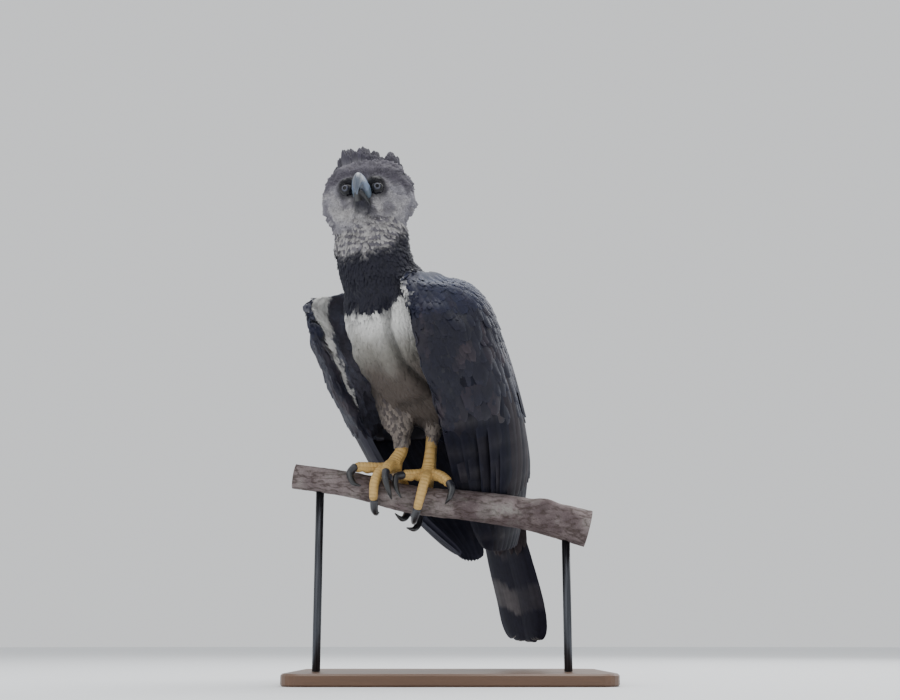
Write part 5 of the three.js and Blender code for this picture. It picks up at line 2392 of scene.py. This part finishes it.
# Eyes, bill, feet and claws
@dataclass
class Eye:
    """An eye with its lids, set in the head."""

    side: str
    sign: int
    radius: float = EYE_RADIUS
    iris_turn: float = 31.0
    pupil_turn: float = 15.0

    def axes(self) -> tuple[Array, Array, Array]:
        """Gives the gaze, the way across and the way up of the eye.

        Returns:
            Three directions in the scene.
        """
        ahead = gaze(self.sign)
        up = aimed(FACE_FRAME, np.array([0.0, 0.0, 1.0]))
        across = unit(np.cross(ahead, up))
        return ahead, across, np.cross(across, ahead)

    def at(self, theta: Array, turn: Array, radius: Array) -> Array:
        """Gives points round the eye's centre, by angle from the gaze and round it.

        Args:
            theta: Angles from the gaze.
            turn: Angles round it.
            radius: Distances, in millimetres.

        Returns:
            Points in the scene.
        """
        ahead, across, up = self.axes()
        centre = placed(FACE_FRAME, eye_centre(self.sign))
        flat = np.cos(turn)[..., None] * across + np.sin(turn)[..., None] * up
        way = np.cos(theta)[..., None] * ahead + np.sin(theta)[..., None] * flat
        return centre + way * (radius * MM)[..., None]

    def ball(self) -> Shell:
        """Makes the eyeball with its bulging cornea, and paints pupil and iris.

        Returns:
            The surface.
        """
        theta = np.radians(np.concatenate([np.linspace(0.4, 44, 45), np.linspace(48, 176, 24)]))
        turn = np.linspace(0, 2 * math.pi, 64, endpoint=False)
        t, a = np.meshgrid(theta, turn, indexing="ij")
        bulge = 0.9 * ramp(math.radians(40), math.radians(20), t)
        rings = self.at(t, a, self.radius + bulge)
        shell = lofted(rings)
        degrees = np.degrees(t).ravel()
        spokes = 0.5 + 0.5 * np.sin(a.ravel() * 41 + 3 * np.sin(a.ravel() * 7))
        colour = layered(
            linear("#4a4c58"),
            (linear("#2b2c36"), 0.6 * spokes),
            (linear("#6f7078"), 0.5 * np.exp(-(((degrees - 18) / 3.5) ** 2))),
            (linear("#060608"), ramp(self.pupil_turn + 1, self.pupil_turn - 1, degrees)),
            (linear("#15151a"), ramp(self.iris_turn - 3, self.iris_turn, degrees)),
        )
        shell.colours = np.concatenate([colour, np.tile(linear("#060608"), (2, 1))])
        return shell

    def lids(self) -> Shell:
        """Makes the ring of dark lid skin: a soft fold whose opening is wider than high.

        Returns:
            The surface.
        """
        turn = np.linspace(0, 2 * math.pi, 72, endpoint=False)
        opening = 36 - 5 * np.sin(turn) ** 2 - 10 * np.maximum(np.sin(turn), 0) ** 2
        section = [(-1.0, 12.0), (0.0, 12.4), (2.5, 12.5), (6, 12.3), (11, 11.9), (16, 11.3), (22, 10.8),
                   (26, 10.3), (18, 10.8), (8, 11.4), (1, 11.75)]
        same = np.ones(len(turn))
        rings = np.stack([self.at(np.radians(opening + d), turn, r * same) for d, r in section], 1)
        rings = np.concatenate([rings, rings[:1]])
        shell = lofted(rings, closed=False)
        shell.colours = blend(linear("#17161a"), linear("#0a0a0d"), noise(shell.points, 0.0016, 8))
        return shell

    def build(self, finish: bpy.types.Material, lid_finish: bpy.types.Material) -> None:
        """Shows the eyeball in the place of its solid, and the lids round it.

        Args:
            finish: The wet eye's material.
            lid_finish: The lids' material.
        """
        ball = show(f"eyeball_{self.side}", self.ball(), finish)
        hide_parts(f"eye_{self.side}")
        show(f"eyelids_{self.side}", self.lids(), lid_finish, welded=True)


@dataclass
class Bill:
    """The hooked upper bill with its cere and nostrils, and the lower bill."""

    cere_step: float = 0.45
    nostril_depth: float = 3.2
    tooth_depth: float = 1.6

    def upper(self) -> Shell:
        """Makes the upper bill: a smooth hook, a step at the cere and two nostrils.

        Returns:
            The surface.
        """
        shell = Limb(BILL_UPPER, FACE_FRAME, ridge=0.3).shell(70, 48)
        q = seen_from(FACE_FRAME, shell.points)
        x, y, z = q.T
        cere = ramp(-63.5, -61.5, y)
        hole = ((y + 56) / 3.4) ** 2 + ((z - 4.5 + 0.35 * (y + 56)) / 1.7) ** 2
        nostril = np.exp(-hole) * (np.abs(x) > 6)
        side = np.stack([np.sign(x), np.zeros(len(x)), 0.2 * np.ones(len(x))], 1)
        q = q + unit(side) * (self.cere_step * cere - self.nostril_depth * nostril)[:, None]
        tooth = np.exp(-(((y + 76) / 5) ** 2)) * ramp(-12, -17, z)
        q[:, 2] -= self.tooth_depth * tooth
        shell.points = placed(FACE_FRAME, q)
        # The horn is near-black. Its blue-grey, paler on top, is painted reflection of the sky and a painted
        # highlight on the culmen; the darker hook, lower edge and nostril dents are painted shade
        shell.colours = layered(
            linear("#7f8da6"),
            (linear("#b6c2d2"), 0.75 * ramp(-6, 12, z) * ramp(-95, -70, y)),
            (linear("#3a4049"), 0.8 * ramp(-78, -95, y)),
            (linear("#2c2f36"), 0.8 * ramp(-10, -17, z) * (y > -85)),
            (linear("#5d6a73"), 0.7 * cere),
            (linear("#101114"), np.clip(1.5 * nostril, 0, 1)),
        )
        return shell

    def lower(self) -> Shell:
        """Makes the lower bill, darker below as painted shade under it.

        Returns:
            The surface.
        """
        shell = Limb(BILL_LOWER, FACE_FRAME).shell(30, 32)
        q = seen_from(FACE_FRAME, shell.points)
        shell.colours = blend(linear("#101116"), linear("#2c3138"), ramp(-23, -18, q[:, 2]))
        return shell

    def build(self) -> None:
        """Shows both halves of the bill in the place of their solids."""
        finish = HornFinish("bill_horn", 0.36, 380.0, 0.2, 0.14).material()
        for name, shell in (("upper", self.upper()), ("lower", self.lower())):
            piece = show(f"bill_horn_{name}", shell, finish)
            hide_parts(f"bill_{name}")


@dataclass
class Feet:
    """Scutes over shanks and toes, and the big hooked claws."""

    shank_scute: float = 7.5
    toe_scute: float = 5.4
    steps: tuple[float, ...] = (-0.12, 0.1, 0.5, 0.95, 1.08)
    crown: tuple[float, ...] = (-0.3, 0.55, 0.9, 1.0, 0.2)
    dirt: tuple[float, ...] = (0.75, 0.2, 0.0, 0.1, 0.75)

    def plates(self, rows: list[list[float]], up: Callable[[Array], Array], pitch: float, wrap: float,
               start: float, end: float, rise: float) -> Shell:
        """Makes a row of overlapping scutes along a limb.

        Args:
            rows: The limb's stations, in the perch's frame.
            up: Gives the scutes' facing from the places of their middles.
            pitch: Length of one scute, in millimetres.
            wrap: How far it reaches to each side, in degrees.
            start: Where the row starts along the limb.
            end: Where it ends.
            rise: How far it stands over the skin, in millimetres.

        Returns:
            The surface.
        """
        line = along(rows, np.linspace(0, 1, 60))
        total = np.linalg.norm(np.diff(line[:, :3], axis=0), axis=1).sum()
        count = max(int(total * (end - start) / pitch), 2)
        turns = np.radians(np.linspace(-wrap, wrap, 9))
        round_off = 1 - (np.abs(turns) / math.radians(wrap)) ** 4
        made = []
        for k in range(count):
            t = np.clip(start + (end - start) * (k + np.array(self.steps)) / count, 0, 1)
            here = along(rows, t)
            way = unit(along(rows, t + 0.03)[:, :3] - along(rows, t - 0.03)[:, :3])
            facing = up(here[:, :3])
            facing = unit(facing - way * dot(way, facing))
            across = np.cross(way, facing)
            radius = here[:, 3, None] - 0.48 + rise * np.array(self.crown)[:, None] * round_off
            flat = np.cos(turns)[:, None] * facing[:, None] + np.sin(turns)[:, None] * across[:, None]
            top = here[:, None, :3] + flat * radius[..., None]
            low = here[:, None, :3] + flat * (here[:, 3, None, None] - 1.6)
            rings = np.concatenate([top, low[:, ::-1]], axis=1)
            shell = lofted(placed(PERCH_FRAME, rings))
            edge = np.concatenate([np.repeat(self.dirt, rings.shape[1]), [0.8, 0.8]])
            shell.colours = layered(Tone.FOOT, (Tone.FOOT_DARK, 0.35 * noise(shell.points, 0.004, 5)),
                                    (linear("#6b4f25"), 0.7 * edge))
            made.append(shell)
        return joined(made)

    @staticmethod
    def off_branch(points: Array) -> Array:
        """Gives the way out from the branch's axis at points in the perch's frame."""
        return unit((points - branch_at(points[:, 0])[:, :3]) * [0, 1, 1])

    @staticmethod
    def ahead(points: Array) -> Array:
        """Gives the way that the shanks face."""
        return np.tile(unit(np.array([-0.2, -0.97, 0.1])), (len(points), 1))

    def build(self) -> None:
        """Shows scutes and claws of both feet."""
        scute = HornFinish("yellow_scute_horn", 0.5, 700.0, 0.05, 0.1).material()
        horn = HornFinish("black_claw_horn", 0.3, 500.0, 0.35, 0.2).material()
        for side, toes in TOES.items():
            made = [self.plates(round_rows(SHANKS[side]), self.ahead, self.shank_scute, 68, 0.35, 0.93, 1.0)]
            for digit, points in toes.items():
                rows = round_rows(points, TOE_RADIUS)
                made.append(self.plates(rows, self.off_branch, self.toe_scute, 72, 0.12, 0.97, 0.9))
                self.claw(side, digit, horn)
            show(f"foot_scutes_{side}", joined(made), scute, welded=True)

    def claw(self, side: str, digit: str, finish: bpy.types.Material) -> None:
        """Shows one claw in the place of its solid.

        Args:
            side: Left or right.
            digit: Which toe.
            finish: The claws' material.
        """
        points = CLAWS[side][digit]
        limb = Limb(round_rows(points, CLAW_RADIUS), PERCH_FRAME, side_of(points), dome=0.7)
        shell = limb.shell(36, 28)
        away = np.linalg.norm(shell.points - placed(PERCH_FRAME, points[0]), axis=1)
        shell.colours = blend(linear("#2a2b32"), linear("#0f1014"), ramp(0.002, 0.03, away))
        piece = show(f"talon_{side}_{digit}", shell, finish)
        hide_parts(f"claw_{side}_{digit}")


# Perch and stand
@dataclass
class Perch:
    """A cut length of branch with rough bark, a knot and a patch of lichen."""

    steps: int = 300
    sides: int = 110
    furrow_depth: float = 1.5
    knot_height: float = 7.0
    knot_hollow: float = 6.5

    def build(self) -> None:
        """Makes the branch and shows it in the place of its solid."""
        limb = Limb(round_rows(BRANCH), PERCH_FRAME, side=(0, 1, 0))
        t = np.linspace(0, 1, self.steps)
        turn = np.linspace(0, 2 * math.pi, self.sides, endpoint=False)
        rings = limb.ring(t, turn, np.ones(self.steps), np.zeros(self.steps))
        axis = along(BRANCH, t)[:, None, :3]
        out = unit(rings - axis)
        x, around = rings[..., 0], np.broadcast_to(turn, rings.shape[:2])
        drawn = rings * [0.3, 1, 1]
        swell = 1.7 * (fractal(rings, 46, 2) - 0.5) + 1.3 * np.sin(3 * around + 0.03 * x) * 0.5
        furrow = self.furrow_depth * (np.abs(fractal(drawn, 7, 8) - 0.5) * 2) ** 0.7
        knot = np.linalg.norm((rings - np.array(KNOT_PLACE)) / [30, 22, 24], axis=-1)
        lump = self.knot_height * ramp(1.35, 0.6, knot) - self.knot_hollow * ramp(0.62, 0.2, knot)
        ends = ramp(0, 0.006, t) * ramp(1, 0.994, t)
        rings = rings + out * ((swell + furrow - 1.0 + lump) * (0.4 + 0.6 * ends[:, None]))[..., None]
        shell = lofted(placed(PERCH_FRAME, rings))
        shell.colours = self.bark(seen_from(PERCH_FRAME, shell.points), furrow, knot)
        piece = show("branch_bark", shell, BarkFinish().material())
        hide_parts("perch")
        self.cuts(rings)

    def bark(self, q: Array, furrow: Array, knot: Array) -> Array:
        """Gives the bark's colours: grey-brown ridges, dark furrows and pale lichen.

        Args:
            q: The bark's points, in the perch's frame.
            furrow: How deep the furrows are, by ring.
            knot: How far the knot is, by ring.

        Returns:
            One colour for each point.
        """
        low = np.concatenate([furrow.ravel(), [1, 1]])
        near = np.concatenate([knot.ravel(), [9, 9]])
        lichen = ramp(0.56, 0.66, fractal(q, 22, 15)) * ramp(1.0, 0.2, q[:, 1] / 24)
        patch = np.exp(-((((q[:, 0] - 160) / 26) ** 2) + (((q[:, 2] + 58) / 9) ** 2))) * (q[:, 1] < 0)
        lichen = np.clip(0.3 * lichen + 1.1 * patch * ramp(0.35, 0.6, noise(q, 5, 4)), 0, 1)
        return layered(
            linear("#827776"),
            (linear("#5e5253"), ramp(0.35, 0.75, fractal(q, 34, 3))),
            (linear("#3e332f"), 0.75 * ramp(0.5, 0.05, low)),
            (linear("#94948d"), 0.45 * lichen),
            (linear("#221c1a"), ramp(0.75, 0.35, near)),
        )

    def cuts(self, rings: Array) -> None:
        """Shows the two sawn faces with their growth rings.

        Args:
            rings: The bark's rings.
        """
        made = []
        shares = np.array([0.985, 0.85, 0.7, 0.55, 0.4, 0.25, 0.1])
        for end, outward in ((0, -1.0), (-1, 1.0)):
            rim = rings[end]
            middle = rim.mean(0)
            faces = middle + (rim - middle) * shares[:, None, None] + [0.25 * outward, 0, 0]
            back = middle + (rim - middle) * 0.95 - [outward, 0, 0]
            stack = np.concatenate([back[None], faces])
            shell = lofted(placed(PERCH_FRAME, stack if outward > 0 else stack[:, ::-1]))
            q = seen_from(PERCH_FRAME, shell.points)
            radius = np.linalg.norm((q - middle)[:, 1:], axis=1)
            tone = 0.5 + 0.5 * np.sin(radius * 2.4 + 2 * noise(q, 8, 2))
            shell.colours = layered(linear("#c9a77c"), (linear("#9c764c"), tone),
                                    (linear("#5a4636"), ramp(0.9, 0.97, radius / radius.max())))
            made.append(shell)
        finish = HornFinish("sawn_wood", 0.75, 260.0, 0.0, 0.18).material()
        show("branch_cut_faces", joined(made), finish, welded=True)


@dataclass
class Stand:
    """The display stand: an oiled board and two round rods."""

    sides: int = 48
    foot_round: float = 0.8
    sunk_in_branch: float = 20.0

    def build(self) -> None:
        """Dresses the board and shows smooth rods in the place of the faceted ones."""
        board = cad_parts["stand_base"]
        board.data.materials.clear()
        board.data.materials.append(BoardFinish().material())
        steel = SteelFinish().material()
        for k, place in enumerate(ROD_PLACES):
            top = branch_at(place)[2] + GRIP[2] - self.sunk_in_branch
            heights = np.array([BOARD_THICK, BOARD_THICK + self.foot_round, top])
            radii = np.array([ROD_RADIUS - 0.6, ROD_RADIUS, ROD_RADIUS])
            turn = np.linspace(0, 2 * math.pi, self.sides, endpoint=False)
            ring = np.stack([np.cos(turn), np.sin(turn), np.zeros(self.sides)], 1)
            rings = ring * radii[:, None, None] + heights[:, None, None] * [0, 0, 1]
            rings = rings + [GRIP[0] + place, GRIP[1], 0]
            piece = show(f"stand_post_{k + 1}", lofted(rings * MM), steel)
            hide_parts(f"stand_rod_{k + 1}")


# Studio
@dataclass
class Studio:
    """The camera at the photograph's view, a pale floor and soft lights."""

    camera_place: tuple[float, float, float] = (0.0, -2.230, 0.070)
    camera_pitch: float = 13.03
    lens: float = 50.33
    backdrop: str = "#eef0f2"
    air: float = 1.0
    floor_radius: float = 14.0
    target: tuple[float, float, float] = (0.0, 0.0, 0.6)
    # Each lamp's name, place, side in metres and power in watts.
    lamps: tuple[tuple[str, tuple[float, float, float], float, float], ...] = (
        ("overhead", (0.2, 0.2, 3.2), 2.6, 95.0),
        ("front_fill", (-1.8, -2.6, 1.7), 2.2, 20.0),
        ("rear_rim", (1.7, 2.0, 2.2), 1.8, 34.0),
    )

    def build(self) -> None:
        """Makes camera, floor, world and lights."""
        data = bpy.data.cameras.new("camera")
        data.lens, data.sensor_width, data.sensor_fit = self.lens, 36.0, "HORIZONTAL"
        data.clip_start, data.clip_end = 0.05, 60.0
        camera = bpy.data.objects.new("camera", data)
        camera.location = self.camera_place
        camera.rotation_euler = (math.radians(90 + self.camera_pitch), 0, 0)
        bpy.context.scene.collection.objects.link(camera)
        bpy.context.scene.camera = camera
        self.floor()
        self.world()
        for name, place, size, watts in self.lamps:
            self.lamp(name, place, self.target, size, watts)

    def floor(self) -> None:
        """Lays the round floor."""
        mesh = bpy.data.meshes.new("floor")
        work = bmesh.new()
        bmesh.ops.create_circle(work, cap_ends=True, segments=128, radius=self.floor_radius)
        work.to_mesh(mesh)
        work.free()
        mesh.materials.append(FloorFinish().material())
        floor = bpy.data.objects.new("floor", mesh)
        bpy.context.scene.collection.objects.link(floor)

    def world(self) -> None:
        """Sets the even light of the room."""
        world = bpy.data.worlds.new("studio_air")
        world.use_nodes = True
        back = world.node_tree.nodes["Background"]
        back.inputs[0].default_value = rgba(self.backdrop)
        back.inputs[1].default_value = self.air
        bpy.context.scene.world = world

    @staticmethod
    def lamp(name: str, place: Sequence[float], target: Sequence[float], size: float, watts: float) -> None:
        """Hangs one square soft light that faces a target.

        Args:
            name: Its name.
            place: Where it hangs.
            target: What it faces.
            size: Its side, in metres.
            watts: Its power.
        """
        data = bpy.data.lights.new(name, "AREA")
        data.shape, data.size, data.energy = "SQUARE", size, watts
        lamp = bpy.data.objects.new(name, data)
        lamp.location = place
        lamp.rotation_euler = (Vector(target) - Vector(place)).to_track_quat("-Z", "Y").to_euler()
        bpy.context.scene.collection.objects.link(lamp)


def main() -> None:
    """Builds the studio, the stand, the perch and the eagle in order."""
    logging.basicConfig(level=logging.INFO, format="%(name)s %(message)s")
    Studio().build()
    Stand().build()
    Perch().build()
    markings = MarkingsAndPaintedLight()
    skin = Skin()
    skin.build(markings)
    skin.piece()
    eye_finish = EyeFinish().material()
    lid_finish = SkinFinish("eyelid_skin").material()
    for side, sign in (("left", 1), ("right", -1)):
        Eye(side, sign).build(eye_finish, lid_finish)
    Bill().build()
    Feet().build()
    coat = Coat(skin, markings)
    HeadCoat(coat).build()
    BodyCoat(coat).build()
    for side in WING_BLADES:
        WingCoat(coat, side).build()
    TailCoat(coat).build()


if __name__ == "__main__":
    main()
